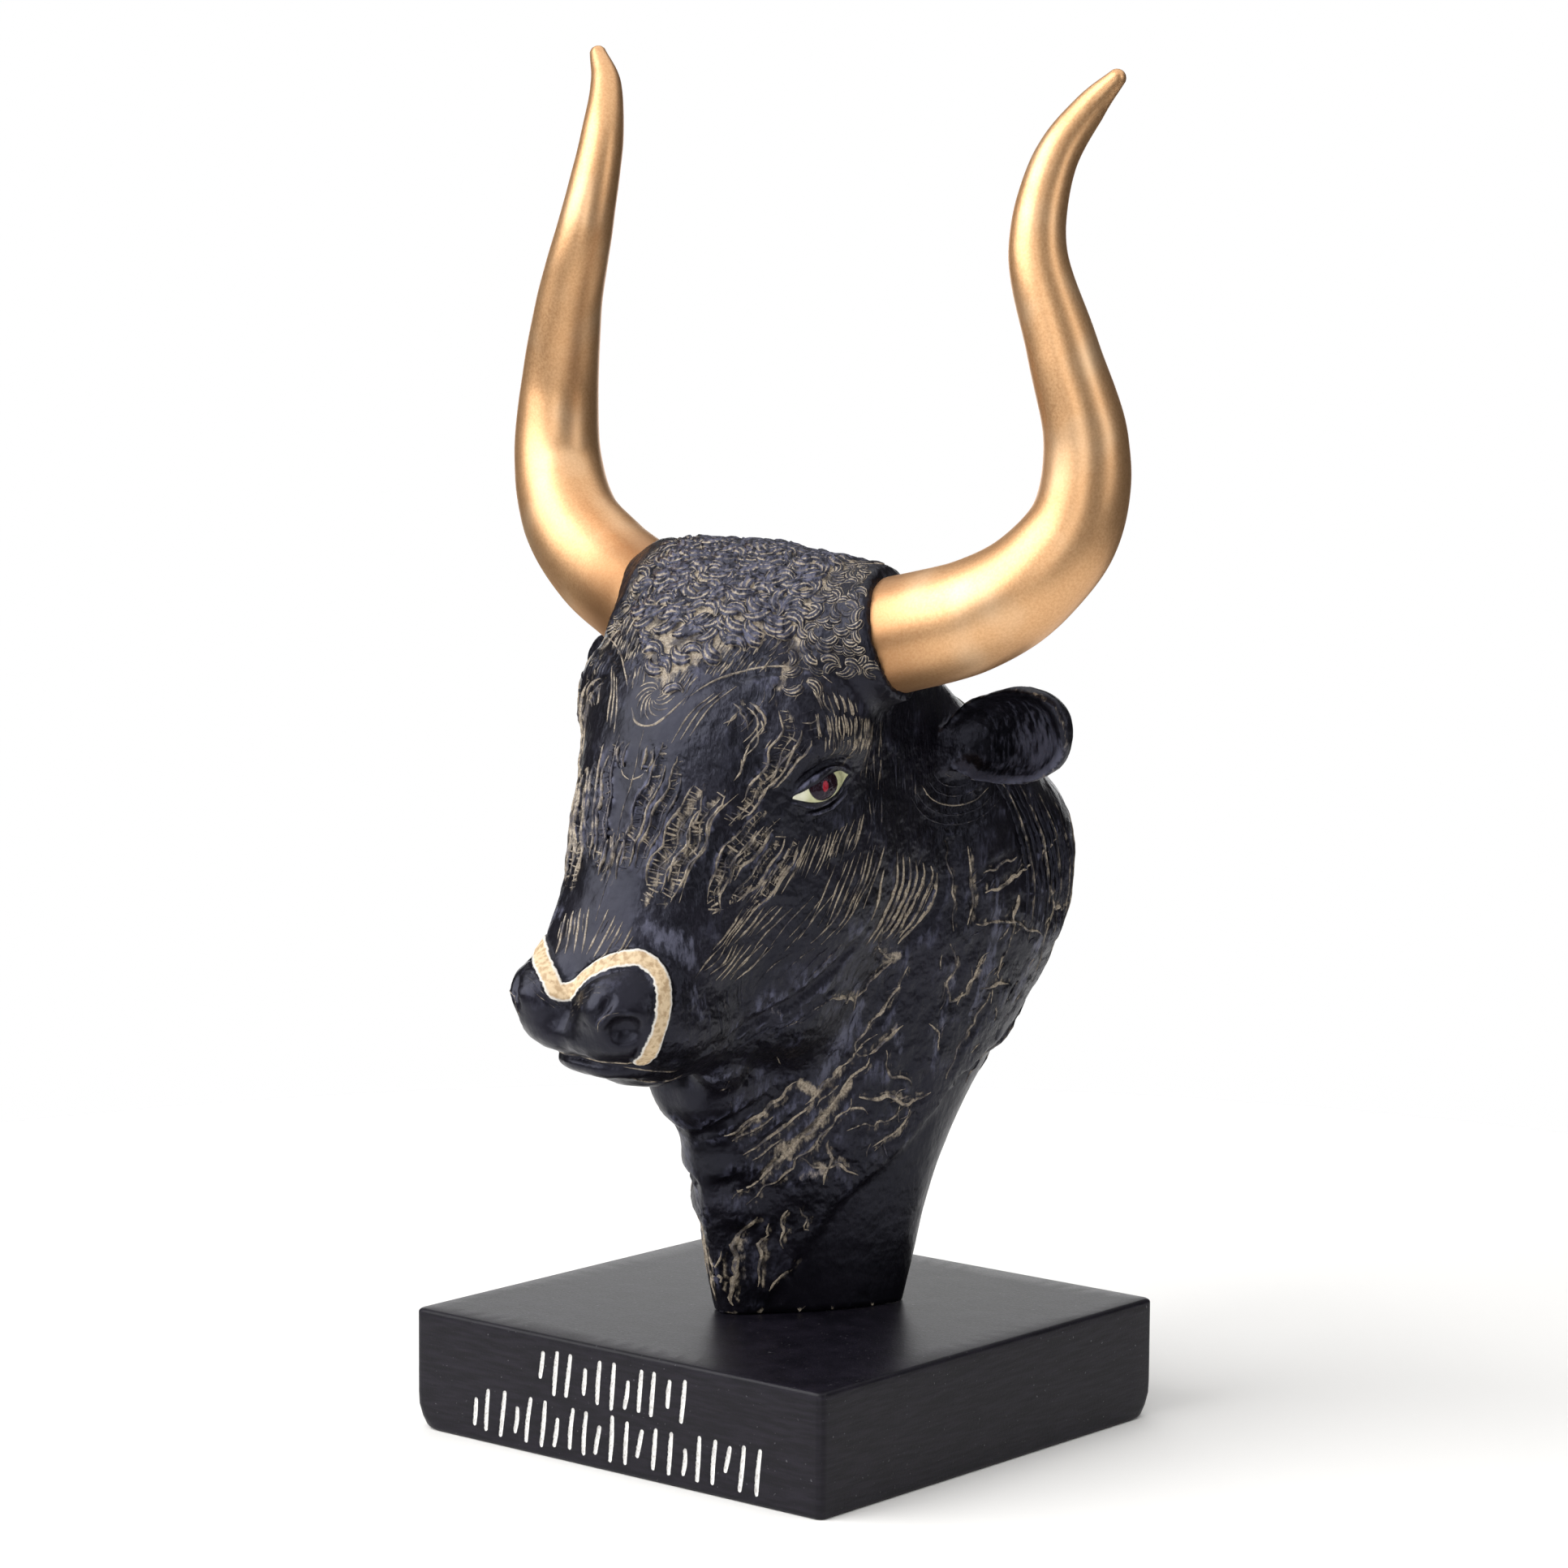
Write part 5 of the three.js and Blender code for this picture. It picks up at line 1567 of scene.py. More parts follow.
def spline_point(a, b, c, d, s, knots):
    """Point at share s between b and c of a curve through four places with uneven knots."""
    t0, t1, t2, t3 = knots
    t = t1 + (t2 - t1) * s
    ab = ((t1 - t) * a + (t - t0) * b) / (t1 - t0)
    bc = ((t2 - t) * b + (t - t1) * c) / (t2 - t1)
    cd = ((t3 - t) * c + (t - t2) * d) / (t3 - t2)
    abc = ((t2 - t) * ab + (t - t0) * bc) / (t2 - t0)
    bcd = ((t3 - t) * bc + (t - t1) * cd) / (t3 - t1)
    return ((t2 - t) * abc + (t - t1) * bcd) / (t2 - t1)


def spline_value(a, b, c, d, s):
    """Value at share s between b and c of a smooth curve through four even values."""
    return b + 0.5 * s * (c - a + s * (2 * a - 5 * b + 4 * c - d + s * (3 * (b - c) + d - a)))


def horn_line():
    """Centre line of the horn and its radius, in small steps from inside the collar to the tip."""
    places = [SEAT - HORN_ROOT_DEPTH * HORN_DIRECTION] + [np.array(h[:3], float) for h in HORN]
    radii = [HORN[0][3]] + [h[3] for h in HORN]
    padded = [2 * places[0] - places[1]] + places + [2 * places[-1] - places[-2]]
    sizes = [radii[0]] + radii + [2 * radii[-1] - radii[-2]]
    line, radius = [], []
    for n in range(len(places) - 1):
        four = padded[n:n + 4]
        gaps = [np.linalg.norm(q - p) ** 0.5 for p, q in zip(four, four[1:])]
        knots = np.concatenate([[0], np.cumsum(gaps)])
        for s in np.arange(HORN_STEPS_PER_SPAN) / HORN_STEPS_PER_SPAN:
            line.append(spline_point(*four, s, knots))
            radius.append(spline_value(*sizes[n:n + 4], s))
    return np.array(line + [places[-1]]), np.array(radius + [radii[-1]])


def horn_rings(line, ahead, radius):
    """Rings of points square to the centre line, with no twist from one to the next."""
    turn = 2 * math.pi * np.arange(HORN_SIDES) / HORN_SIDES
    across = np.cross(ahead[0], [0, 1.0, 0])
    rings = []
    for place, direction, size in zip(line, ahead, radius):
        across = unit(across - (across @ direction) * direction)
        up = np.cross(direction, across)
        rings.append(place + size * (np.cos(turn)[:, None] * across + np.sin(turn)[:, None] * up))
    return np.concatenate(rings)


def horn_triangles(rings):
    """Triangles between the rings, and round the middle point of each end, which come last."""
    triangles = []
    for ring in range(rings - 1):
        for n in range(HORN_SIDES):
            a, b = ring * HORN_SIDES + n, ring * HORN_SIDES + (n + 1) % HORN_SIDES
            triangles += [(a, b, b + HORN_SIDES), (a, b + HORN_SIDES, a + HORN_SIDES)]
    last = (rings - 1) * HORN_SIDES
    root, tip = rings * HORN_SIDES, rings * HORN_SIDES + 1
    for n in range(HORN_SIDES):
        m = (n + 1) % HORN_SIDES
        triangles += [(root, m, n), (tip, last + n, last + m)]
    return np.array(triangles)


def horn_piece(name, side):
    """Horn with a rounded tip and the slight unevenness of a hand-finished casting."""
    line, radius = horn_line()
    ahead = np.gradient(line, axis=0)
    ahead /= np.linalg.norm(ahead, axis=1)[:, None]
    tip, tip_radius, end = line[-1], radius[-1], ahead[-1]
    for angle in HORN_TIP_ANGLES:
        line = np.vstack([line, tip + end * tip_radius * math.sin(angle) * HORN_TIP_LENGTH])
        radius = np.append(radius, tip_radius * math.cos(angle))
        ahead = np.vstack([ahead, end])
    points = horn_rings(line, ahead, radius)
    outward = points - np.repeat(line, HORN_SIDES, axis=0)
    outward /= np.linalg.norm(outward, axis=1)[:, None]
    uneven = HORN_LUMP_HEIGHT * lumps(points * [side, 1, 1], HORN_LUMP_SIZE, 2)
    points = points + outward * uneven[:, None]
    points = np.vstack([points, line[0], tip + end * tip_radius * HORN_TIP_LENGTH])
    triangles = horn_triangles(len(line))
    if side < 0:
        triangles = triangles[:, ::-1]
    from_root = np.concatenate([np.repeat(np.arange(len(line)) / len(line), HORN_SIDES), [0, 1]])
    return new_piece(name, stand(points * [side, 1, 1]), triangles, {"from_root": from_root})


# Plinth

def square_ring(half, z, worn):
    """Square outline with rounded corners; two of its corners are worn rounder by worn."""
    points = []
    for corner in range(4):
        radius = PLINTH_CORNER_ROUND + (worn if corner in (0, 2) else 0)
        next_radius = PLINTH_CORNER_ROUND + (worn if corner in (1, 3) else 0)
        turn = math.pi / 2 * corner
        inner = half - radius
        mx = inner * math.cos(turn) - inner * math.sin(turn)
        my = inner * math.sin(turn) + inner * math.cos(turn)
        for n in range(CORNER_STEPS + 1):
            angle = turn + math.pi / 2 * n / CORNER_STEPS
            points.append((mx + radius * math.cos(angle), my + radius * math.sin(angle), z))
        start = np.array(points[-1])
        ahead = np.array([-math.cos(turn), -math.sin(turn), 0])
        length = 2 * half - radius - next_radius
        for n in range(1, SIDE_STEPS):
            points.append(tuple(start + ahead * length * n / SIDE_STEPS))
    return np.array(points)


def plinth_levels():
    """Height and inset of the rings up the plinth, rounded at its top and bottom edges."""
    arc = np.linspace(0, math.pi / 2, 5)
    bottom = [(PLINTH_TOP_ROUND * (1 - math.cos(a)), PLINTH_TOP_ROUND * (1 - math.sin(a))) for a in arc]
    middle = [(z, 0) for z in np.linspace(3, PLINTH_HEIGHT - 3, 9)]
    top = [(PLINTH_HEIGHT - z, inset) for z, inset in reversed(bottom)]
    return bottom + middle + top


def plinth_shape():
    """Points and triangles of the block, whose corners are worn rounder towards its foot."""
    rings = []
    for z, inset in plinth_levels():
        worn = PLINTH_WORN_ROUND * max(0, 1 - z / PLINTH_WORN_HEIGHT) ** 2
        rings.append(square_ring(PLINTH_SIDE / 2 - inset, z, worn))
    size = len(rings[0])
    points = np.concatenate([[[0, 0, 0]], *rings, [[0, 0, PLINTH_HEIGHT]]])
    first, top = 1 + (len(rings) - 1) * size, len(points) - 1
    triangles = []
    for n in range(size):
        m = (n + 1) % size
        triangles.append((0, 1 + m, 1 + n))
        for ring in range(len(rings) - 1):
            a, b = 1 + ring * size + n, 1 + ring * size + m
            triangles += [(a, b, b + size), (a, b + size, a + size)]
        triangles.append((top, first + n, first + m))
    return points, np.array(triangles)


def mark_rows():
    """Two rows of plain slanted cuts on the front face, as tables of short stretches."""
    ends = []
    for first, last, base, height, count in MARK_ROWS:
        for n in range(count):
            x = first + (last - first) * (n + random.uniform(-0.1, 0.1)) / (count - 1)
            lean = random.uniform(0.5, 1.7)
            tall = height * (1 if n % 3 else 0.6) * random.uniform(0.9, 1.05)
            low = base + (height - tall) * random.uniform(0.1, 0.9)
            ends.append(((x - lean / 2, low), (x + lean / 2, low + tall)))
    rows = []
    for a, b in ends:
        middle = ((a[0] + b[0]) / 2 + random.normal(0, 0.15), (a[1] + b[1]) / 2)
        line = smooth_line([a, middle, b], STROKE_STEP)
        path = np.stack([line[:, 0], np.full(len(line), PLINTH_FRONT), line[:, 1]], 1)
        half = MARK_HALF_WIDTH * (0.8 + 0.25 * np.sin(np.linspace(0.3, 2.9, len(path))))
        rows.append(row_of(path, half, np.full(len(path), MARK_DEPTH), [1, 0]))
    return rows


def mark_share(places, rows):
    """Distance from the nearest cut as a share of its half width, up to MARK_FAR."""
    share = np.full(len(places), MARK_FAR)
    finder = Finder(places)
    for row in in_pieces(rows, LINE_PIECE):
        which, near = finder.near(row, 2)
        if len(which):
            distance, half, _ = nearest_on(near, row)
            share[which] = np.minimum(share[which], distance / half)
    return share


def plinth_piece(name):
    """Square block with softened edges and the painted cuts on its front face."""
    points, triangles = plinth_shape()
    rows = mark_rows()

    def on_front(places):
        """Whether each place is on the front face."""
        return places[:, 1] < PLINTH_FRONT + 0.01

    def wanted(places):
        """Fine in the cuts, coarser over the rest of the front and coarsest elsewhere."""
        plain = np.where(on_front(places), FRONT_EDGE, BLOCK_EDGE)
        return np.where(mark_share(places, rows) < 1.6, MARK_EDGE, plain)

    for _ in range(8):
        points, triangles = split_long_edges(points, triangles, wanted)
    share = np.where(on_front(points), mark_share(points, rows), MARK_FAR)
    points[:, 1] += MARK_DEPTH * np.clip(1 - share ** 2, 0, 1)
    return new_piece(name, points, triangles, {"paint": share})


# Materials

def linear(hex_colour):
    """sRGB hex to a linear colour."""
    parts = [int(hex_colour[n:n + 2], 16) / 255 for n in (1, 3, 5)]
    return (*[c / 12.92 if c <= 0.04045 else ((c + 0.055) / 1.055) ** 2.4 for c in parts], 1)


def plain_material(name):
    """A new material, its node tree and its shader."""
    material = bpy.data.materials.new(name)
    material.use_nodes = True
    return material, material.node_tree, material.node_tree.nodes["Principled BSDF"]


def add(tree, kind, links=None, output=0, **settings):
    """Adds a node with its settings and gives one of its outputs; links are sockets or constants."""
    made = tree.nodes.new("ShaderNode" + kind)
    for key, value in settings.items():
        setattr(made, key, value)
    for key, value in (links or {}).items():
        if isinstance(value, bpy.types.NodeSocket):
            tree.links.new(value, made.inputs[key])
        else:
            made.inputs[key].default_value = value
    return made.outputs[output]


def painted_resin():
    """Cast resin, brushed with satin black paint over the carving.

    The crests are rubbed to a blue-grey that is also a painted highlight, and a cream wash stays on the
    raised hairs and in the cuts.
    A broad ochre band with paler rims is brushed over the nose, and the eyes are painted.
    The lines that the brush leaves and the grit of the wash are well under half a millimetre wide.
    They are drawn at 1.5 and 0.5 mm, so that they show.
    """
    material, tree, shader = plain_material("cast_resin_black_paint_cream_wash")
    place = add(tree, "TexCoord", output="Object")
    combed = add(tree, "Mapping", {"Vector": place, "Scale": (1, 1, 0.35)})
    patches = add(tree, "TexNoise", {"Vector": place, "Scale": PER_MM / 14, "Detail": 3}, "Fac")
    mottle = add(tree, "TexNoise", {"Vector": place, "Scale": PER_MM / 4, "Detail": 2}, "Fac")
    hairs = add(tree, "TexNoise", {"Vector": combed, "Scale": PER_MM / 1.5, "Detail": 4, "Roughness": 0.65},
                "Fac")
    fine = add(tree, "TexNoise", {"Vector": place, "Scale": PER_MM / 0.5, "Detail": 2}, "Fac")

    shade = add(tree, "MapRange", {"Value": patches, "From Min": 0.35, "From Max": 0.68},
                interpolation_type=SMOOTH)
    colour = add(tree, "Mix", {SHARE: shade, UNDER: linear(RESIN_BLACK), OVER: linear(RESIN_BLACK_THIN)},
                 MIXED, data_type="RGBA")
    colour = rubbed_and_highlit_crests(tree, colour, hairs)
    # Blue-grey haze, part of it painted highlight
    colour = grey_haze_and_highlight(tree, colour, hairs)
    colour, worn = cream_wash(tree, colour, hairs, mottle, fine)
    colour, in_band = nose_band(tree, colour, place)
    colour, eye = eye_paint(tree, colour)
    painted = add(tree, "Math", {0: worn, 1: in_band}, operation="ADD", use_clamp=True)
    rough = resin_roughness(tree, hairs, painted, eye)
    grain = resin_bumps(tree, hairs, mottle)
    tree.links.new(colour, shader.inputs["Base Color"])
    tree.links.new(rough, shader.inputs["Roughness"])
    tree.links.new(grain, shader.inputs["Normal"])
    shader.inputs["IOR"].default_value = 1.46
    shader.inputs["Specular IOR Level"].default_value = 0.36
    shader.inputs["Specular Tint"].default_value = linear(LACQUER_TINT)
    return material


def rubbed_and_highlit_crests(tree, colour, hairs):
    """Blue-grey over the colour on the crests of the carving: rubbed paint, and a painted highlight as
    well.
    """
    relief = add(tree, "Attribute", output="Fac", attribute_name="relief")
    crest = add(tree, "MapRange", {"Value": relief, "From Min": 0.05, "From Max": 0.45, "To Max": 0.65},
                interpolation_type=SMOOTH)
    rubbed_and_highlit = add(tree, "MapRange", {"Value": hairs, "From Min": 0.38, "From Max": 0.64},
                 interpolation_type=SMOOTH)
    rubbed_and_highlit = add(tree, "Math", {0: crest, 1: rubbed_and_highlit}, operation="MULTIPLY")
    return add(tree, "Mix", {SHARE: rubbed_and_highlit, UNDER: colour, OVER: linear(RUBBED_AND_HIGHLIT_CREST)},
               MIXED, data_type="RGBA")


def grey_haze_and_highlight(tree, colour, hairs):
    """Patches of blue-grey over the colour; some are painted highlights, on the lobe under the jaw and in
    the ear's hollow.
    """
    haze_and_highlight = add(tree, "Attribute", output="Fac", attribute_name="haze_and_highlight")
    haze_and_highlight = add(tree, "Math", {0: hairs, 1: 2.0, 2: haze_and_highlight}, operation="MULTIPLY_ADD")
    haze_and_highlight = add(tree, "MapRange", {"Value": haze_and_highlight, "From Min": 1.3, "From Max": 1.9, "To Max": 0.5},
               interpolation_type=SMOOTH)
    return add(tree, "Mix", {SHARE: haze_and_highlight, UNDER: colour, OVER: linear(GREY_HAZE_AND_HIGHLIGHT)},
               MIXED, data_type="RGBA")


def cream_wash(tree, colour, hairs, mottle, fine):
    """Worn, gritty cream over the colour, and the share of it that stays."""
    cream = add(tree, "Attribute", output="Fac", attribute_name="cream")
    cream = add(tree, "Math", {0: hairs, 1: 1.1, 2: cream}, operation="MULTIPLY_ADD")
    cream = add(tree, "MapRange", {"Value": cream, "From Min": 0.86, "From Max": 1.22, "To Max": 0.8},
                interpolation_type=SMOOTH)
    kept = add(tree, "MapRange", {"Value": mottle, "From Min": 0.36, "From Max": 0.56, "To Min": 0.2},
               interpolation_type=SMOOTH)
    worn = add(tree, "Math", {0: cream, 1: kept}, operation="MULTIPLY")
    grit = add(tree, "MapRange", {"Value": fine, "From Min": 0.3, "From Max": 0.7},
               interpolation_type=SMOOTH)
    wash = add(tree, "Mix", {SHARE: grit, UNDER: linear(CREAM_PALE), OVER: linear(CREAM_DARK)},
               MIXED, data_type="RGBA")
    return add(tree, "Mix", {SHARE: worn, UNDER: colour, OVER: wash}, MIXED, data_type="RGBA"), worn


def nose_band(tree, colour, place):
    """Ragged ochre band with paler rims over the colour, and where it is."""
    ragged = add(tree, "TexNoise", {"Vector": place, "Scale": PER_MM / 1.3, "Detail": 3}, "Fac")
    band = add(tree, "Attribute", output="Fac", attribute_name="band")
    band = add(tree, "Math", {0: ragged, 1: 0.9, 2: band}, operation="MULTIPLY_ADD")
    in_band = add(tree, "MapRange", {"Value": band, "From Min": 2.85, "From Max": 2.55},
                  interpolation_type=SMOOTH)
    rim = add(tree, "MapRange", {"Value": band, "From Min": 1.95, "From Max": 2.55},
              interpolation_type=SMOOTH)
    thin = add(tree, "MapRange", {"Value": ragged, "From Min": 0.32, "From Max": 0.6},
               interpolation_type=SMOOTH)
    ochre = add(tree, "Mix", {SHARE: thin, UNDER: linear(OCHRE_DARK), OVER: linear(OCHRE_PALE)},
                MIXED, data_type="RGBA")
    ochre = add(tree, "Mix", {SHARE: rim, UNDER: ochre, OVER: linear(BAND_RIM)}, MIXED, data_type="RGBA")
    return add(tree, "Mix", {SHARE: in_band, UNDER: colour, OVER: ochre}, MIXED, data_type="RGBA"), in_band


def resin_roughness(tree, hairs, painted, eye):
    """Satin black, matter where cream or ochre lies on it and glossier on the eyes."""
    rough = add(tree, "MapRange", {"Value": hairs, "To Min": 0.26, "To Max": 0.44})
    rough = add(tree, "Math", {0: painted, 1: 0.28, 2: rough}, operation="MULTIPLY_ADD")
    return add(tree, "Math", {0: eye, 1: -0.2, 2: rough}, operation="MULTIPLY_ADD")


def resin_bumps(tree, hairs, mottle):
    """Lumps of the casting and lines of the brush, fainter where the skin is bare."""
    hair = add(tree, "Attribute", output="Fac", attribute_name="hair")
    carved = add(tree, "MapRange", {"Value": hair, "To Min": 0.3, "To Max": 1.0})
    lumpy = add(tree, "Bump", {"Height": mottle, "Distance": 1.0 * MM, "Strength": carved})
    return add(tree, "Bump", {"Height": hairs, "Distance": 0.32 * MM, "Strength": carved, "Normal": lumpy})


def eye_paint(tree, colour):
    """Painted eye over the colour: pale yellow-green white, whiter towards the inner corner as a painted
    highlight, dark iris and a small red pupil.
    """
    opening = add(tree, "Attribute", output="Fac", attribute_name="opening")
    gaze = add(tree, "Attribute", output="Vector", attribute_name="gaze")
    flat = add(tree, "VectorMath", {0: gaze, 1: (1, 1, 0)}, operation="MULTIPLY")
    distance = add(tree, "VectorMath", {0: flat}, "Value", operation="LENGTH")
    across = add(tree, "SeparateXYZ", {"Vector": gaze})
    # Painted highlight: the white turns whiter towards the inner corner
    inner = add(tree, "MapRange", {"Value": across, "From Min": -3.0, "From Max": -4.6})
    white = add(tree, "Mix", {SHARE: inner, UNDER: linear(EYE_WHITE), OVER: linear(EYE_CORNER_HIGHLIGHT)},
                MIXED, data_type="RGBA")
    ring = add(tree, "MapRange", {"Value": distance, "From Min": 3.7, "From Max": 4.0},
               interpolation_type=SMOOTH)
    eye = add(tree, "Mix", {SHARE: ring, UNDER: linear(IRIS), OVER: white}, MIXED, data_type="RGBA")
    pupil = add(tree, "VectorMath", {0: flat, 1: (0.4, -0.4, 0)}, operation="SUBTRACT")
    pupil = add(tree, "VectorMath", {0: pupil, 1: (1.33, 0.77, 0)}, operation="MULTIPLY")
    pupil = add(tree, "VectorMath", {0: pupil}, "Value", operation="LENGTH")
    pupil = add(tree, "MapRange", {"Value": pupil, "From Min": 1.15, "From Max": 0.8},
                interpolation_type=SMOOTH)
    eye = add(tree, "Mix", {SHARE: pupil, UNDER: eye, OVER: linear(PUPIL)}, MIXED, data_type="RGBA")
    inside = add(tree, "MapRange", {"Value": opening, "From Min": 0.1, "From Max": 0.3},
                 interpolation_type=SMOOTH)
    return add(tree, "Mix", {SHARE: inside, UNDER: colour, OVER: eye}, MIXED, data_type="RGBA"), inside


def gold_paint():
    """Gold metallic paint sprayed over resin: satin, glittering a little, and browner towards the root.

    Its flakes are a few hundredths of a millimetre wide and are drawn at 0.6 mm, so that they show.
    """
    material, tree, shader = plain_material("gold_metallic_paint")
    place = add(tree, "TexCoord", output="Object")
    flakes = add(tree, "TexNoise", {"Vector": place, "Scale": PER_MM / 0.6, "Detail": 2, "Roughness": 0.6},
                 "Fac")
    drift = add(tree, "TexNoise", {"Vector": place, "Scale": PER_MM / 20, "Detail": 2}, "Fac")
    spark = add(tree, "MapRange", {"Value": flakes, "From Min": 0.35, "From Max": 0.65})
    gold = add(tree, "Mix", {SHARE: spark, UNDER: linear(GOLD_DARK), OVER: linear(GOLD_BRIGHT)},
               MIXED, data_type="RGBA")
    pale = add(tree, "MapRange", {"Value": drift, "From Min": 0.5, "From Max": 0.75, "To Max": 0.35},
               interpolation_type=SMOOTH)
    gold = add(tree, "Mix", {SHARE: pale, UNDER: gold, OVER: linear(GOLD_PALE)}, MIXED, data_type="RGBA")
    # Browner towards the root of the horn
    root = add(tree, "Attribute", output="Fac", attribute_name="from_root")
    root = add(tree, "Math", {0: drift, 1: 0.06, 2: root}, operation="MULTIPLY_ADD")
    root = add(tree, "MapRange", {"Value": root, "From Min": 0.22, "From Max": 0.11, "To Max": 0.6},
               interpolation_type=SMOOTH)
    gold = add(tree, "Mix", {SHARE: root, UNDER: gold, OVER: linear(GOLD_ROOT_BROWN)}, MIXED, data_type="RGBA")
    rough = add(tree, "MapRange", {"Value": flakes, "To Min": 0.36, "To Max": 0.5})
    grain = add(tree, "Bump", {"Height": flakes, "Distance": 0.03 * MM, "Strength": 0.6})
    dents = add(tree, "Bump", {"Height": drift, "Distance": 0.4 * MM, "Strength": 0.25, "Normal": grain})
    tree.links.new(gold, shader.inputs["Base Color"])
    tree.links.new(rough, shader.inputs["Roughness"])
    tree.links.new(dents, shader.inputs["Normal"])
    shader.inputs["Metallic"].default_value = 0.92
    return material


def painted_wood():
    """Planed wood brushed black: satin, with faint level brush marks and white paint in the cuts.

    The pores of the paint and the specks of dust on it are finer than the 0.7 and 1.1 mm that they are
    drawn at, so that they show.
    """
    material, tree, shader = plain_material("planed_wood_black_paint")
    place = add(tree, "TexCoord", output="Object")
    level = add(tree, "Mapping", {"Vector": place, "Scale": (1, 1, 9)})
    marks = add(tree, "TexNoise", {"Vector": level, "Scale": PER_MM / 9, "Detail": 4, "Roughness": 0.6},
                "Fac")
    fine = add(tree, "TexNoise", {"Vector": place, "Scale": PER_MM / 0.7, "Detail": 3, "Roughness": 0.6},
               "Fac")
    dust = add(tree, "TexNoise", {"Vector": place, "Scale": PER_MM / 1.1, "Detail": 2}, "Fac")
    shade = add(tree, "MapRange", {"Value": marks, "From Min": 0.35, "From Max": 0.7},
                interpolation_type=SMOOTH)
    colour = add(tree, "Mix", {SHARE: shade, UNDER: linear(WOOD_BLACK), OVER: linear(WOOD_BLACK_THIN)},
                 MIXED, data_type="RGBA")
    dust = add(tree, "MapRange", {"Value": dust, "From Min": 0.7, "From Max": 0.76, "To Max": 0.25})
    colour = add(tree, "Mix", {SHARE: dust, UNDER: colour, OVER: linear(DUST)}, MIXED, data_type="RGBA")
    colour = cut_paint(tree, colour, fine)
    rough = add(tree, "MapRange", {"Value": fine, "To Min": 0.34, "To Max": 0.48})
    brushed = add(tree, "Bump", {"Height": marks, "Distance": 0.12 * MM, "Strength": 0.6})
    grain = add(tree, "Bump", {"Height": fine, "Distance": 0.06 * MM, "Strength": 0.6, "Normal": brushed})
    tree.links.new(colour, shader.inputs["Base Color"])
    tree.links.new(rough, shader.inputs["Roughness"])
    tree.links.new(grain, shader.inputs["Normal"])
    shader.inputs["IOR"].default_value = 1.46
    shader.inputs["Specular IOR Level"].default_value = 0.24
    return material


def cut_paint(tree, colour, fine):
    """Streaky white over the colour, in the cuts of the front face."""
    cut = add(tree, "Attribute", output="Fac", attribute_name="paint")
    cut = add(tree, "Math", {0: fine, 1: 0.7, 2: cut}, operation="MULTIPLY_ADD")
    cut = add(tree, "MapRange", {"Value": cut, "From Min": 1.35, "From Max": 1.1},
              interpolation_type=SMOOTH)
    streaky = add(tree, "MapRange", {"Value": fine, "From Min": 0.3, "From Max": 0.6})
    white = add(tree, "Mix", {SHARE: streaky, UNDER: linear(CUT_GREY), OVER: linear(CUT_WHITE)},
                MIXED, data_type="RGBA")
    return add(tree, "Mix", {SHARE: cut, UNDER: colour, OVER: white}, MIXED, data_type="RGBA")


def floor_paint():
    """Matt white board, plain and even."""
    material, _, shader = plain_material("matt_white_board")
    shader.inputs["Base Color"].default_value = linear(BOARD_WHITE)
    shader.inputs["Roughness"].default_value = 0.85
    return material


# Studio

def add_lamp(name, place, size, power):
    """Soft rectangular lamp that points at the middle of the piece."""
    data = bpy.data.lights.new(name, "AREA")
    data.shape = "RECTANGLE"
    data.size, data.size_y = size
    data.energy = power
    lamp = bpy.data.objects.new(name, data)
    lamp.location = place
    lamp.rotation_euler = (Vector(STUDIO_MIDDLE) - Vector(place)).to_track_quat("-Z", "Y").to_euler()
    bpy.context.scene.collection.objects.link(lamp)


def studio():
    """Pale floor, white background and soft lamps round the piece and over it."""
    bpy.ops.mesh.primitive_circle_add(vertices=128, radius=FLOOR_RADIUS, fill_type="NGON")
    floor = bpy.context.object
    floor.name = "floor"
    floor.data.materials.append(floor_paint())
    world = bpy.data.worlds.new("studio")
    world.use_nodes = True
    tree = world.node_tree
    background = tree.nodes["Background"]
    background.inputs["Color"].default_value = (1, 1, 1, 1)
    seen = add(tree, "LightPath", output="Is Camera Ray")
    strength = add(tree, "MapRange", {"Value": seen, "To Min": ROOM_LIGHT})
    tree.links.new(strength, background.inputs["Strength"])
    bpy.context.scene.world = world
    for name, place, size, power in LAMPS:
        add_lamp(name, place, size, power)
    bpy.context.scene.view_settings.view_transform = "Standard"


def camera():
    """Camera at the photograph's place, with its roll."""
    azimuth, elevation, roll = CAMERA_AZIMUTH, CAMERA_ELEVATION, CAMERA_ROLL
    away = math.cos(elevation)
    back = Vector((math.sin(azimuth) * away, -math.cos(azimuth) * away, math.sin(elevation)))
    level = Vector((math.cos(azimuth), math.sin(azimuth), 0))
    upright = back.cross(level)
    right = math.cos(roll) * level + math.sin(roll) * upright
    up = -math.sin(roll) * level + math.cos(roll) * upright
    data = bpy.data.cameras.new("camera")
    data.lens = CAMERA_LENS
    data.sensor_width = CAMERA_SENSOR
    data.clip_start, data.clip_end = 0.05, 50
    view = bpy.data.objects.new("camera", data)
    turn = Matrix((right, up, back)).transposed().to_4x4()
    view.matrix_world = Matrix.Translation(Vector(CAMERA_PLACE) * MM) @ turn
    bpy.context.scene.collection.objects.link(view)
    bpy.context.scene.camera = view


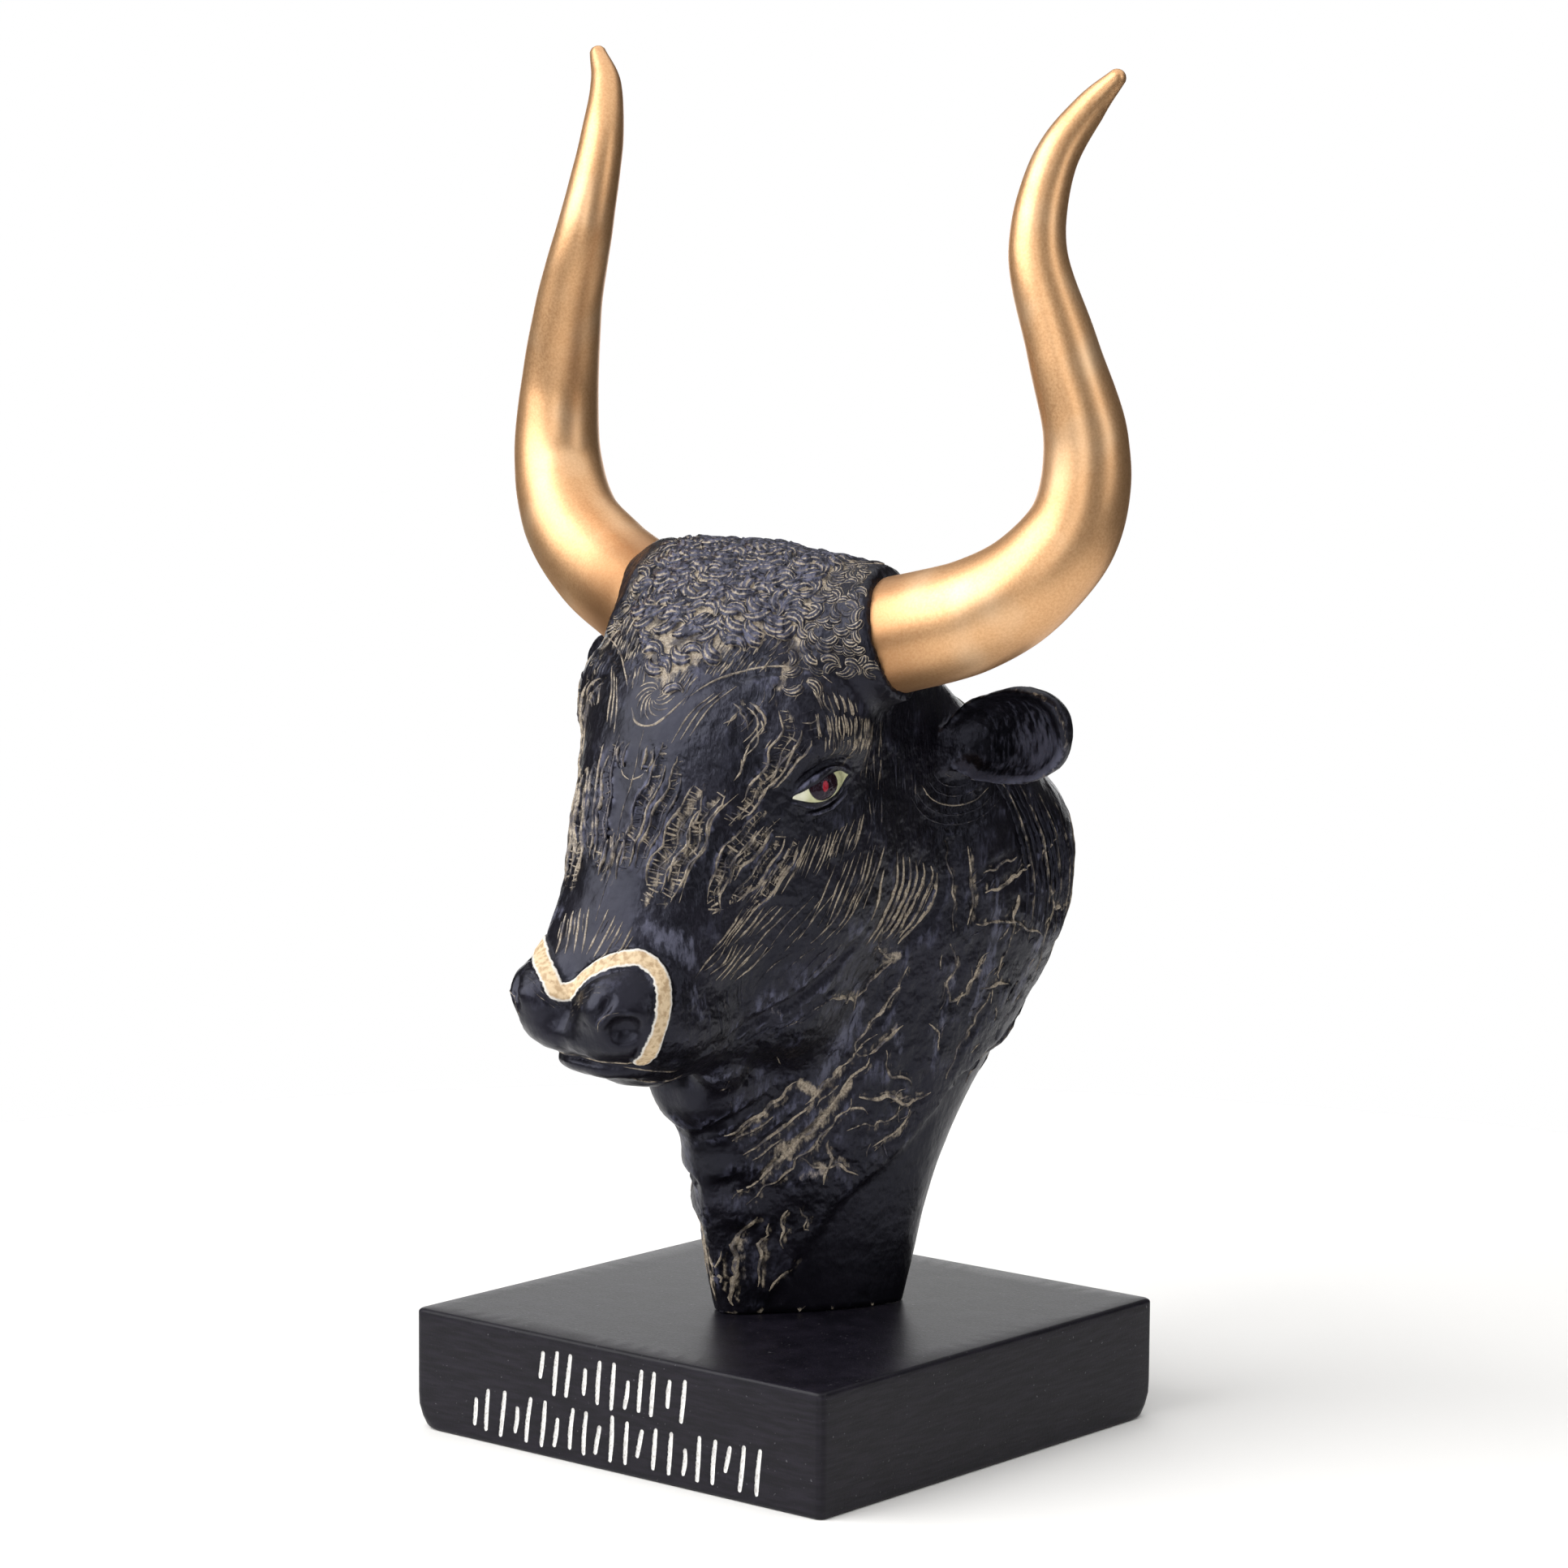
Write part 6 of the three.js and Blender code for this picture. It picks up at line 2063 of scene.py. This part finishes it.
def gaze_values(points):
    """Place of each point on a plane square to the gaze, from the middle of the iris, in millimetres."""
    p = mirrored(points)
    axis = unit(IRIS_AXIS)
    across = unit(np.cross([0, 0, 1.0], axis))
    up = np.cross(axis, across)
    offset = p - IRIS_CENTRE
    near = np.linalg.norm(offset, axis=1) < GAZE_REACH
    return np.where(near[:, None], np.stack([offset @ across, offset @ up, offset @ axis], 1), GAZE_FAR)


def hairiness(points):
    """1 where the skin is carved all over, down to 0 on the bare nose, the muzzle and the plain stem."""
    p = mirrored(points)
    face = (p[:, 1] < -28) & (p[:, 2] < 190)
    bridge = np.where(face, np.clip((p[:, 0] - 9) / 6, 0, 1), 1)
    muzzle = np.clip((p[:, 1] + 74) / 8, 0, 1)
    stem = np.clip((p[:, 2] - skin_edge(p)) / 2, 0.15, 1)
    ear = np.where((p[:, 0] > 38) & (p[:, 2] < 197), 0.3, 1)
    return np.minimum(np.minimum(bridge, muzzle), np.minimum(stem, ear))


def bust_piece(name):
    """The carved bust with the values that its paint goes by."""
    points, triangles, paint = bust_shape()
    values = {
        "cream": paint[:, 0],
        "relief": paint[:, 1],
        "haze_and_highlight": paint[:, 2],
        "band": band_distance(points, band_row()),
        "opening": eye_opening(points),
        "hair": hairiness(points),
    }
    piece = new_piece(name, stand(points), triangles, values)
    gaze = piece.data.attributes.new("gaze", "FLOAT_VECTOR", "POINT")
    gaze.data.foreach_set("vector", gaze_values(points).astype(np.float32).ravel())
    piece.data.materials.append(painted_resin())
    return piece


def build():
    """The whole scene: every piece rides on the one body and stands for one node."""
    camera()
    studio()
    bust = bust_piece("bust")
    plinth = plinth_piece("plinth_block")
    plinth.data.materials.append(painted_wood())
    gold = gold_paint()
    left_horn, right_horn = horn_piece("left_horn", 1), horn_piece("right_horn", -1)
    for horn in (left_horn, right_horn):
        horn.data.materials.append(gold)
    for piece, slot, node in ((bust, "bust", "bull_head"), (plinth, "plinth", "plinth"),
                              (left_horn, "horns", "horn_left"), (right_horn, "horns", "horn_right")):
        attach(piece, "root")
        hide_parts(node)


build()
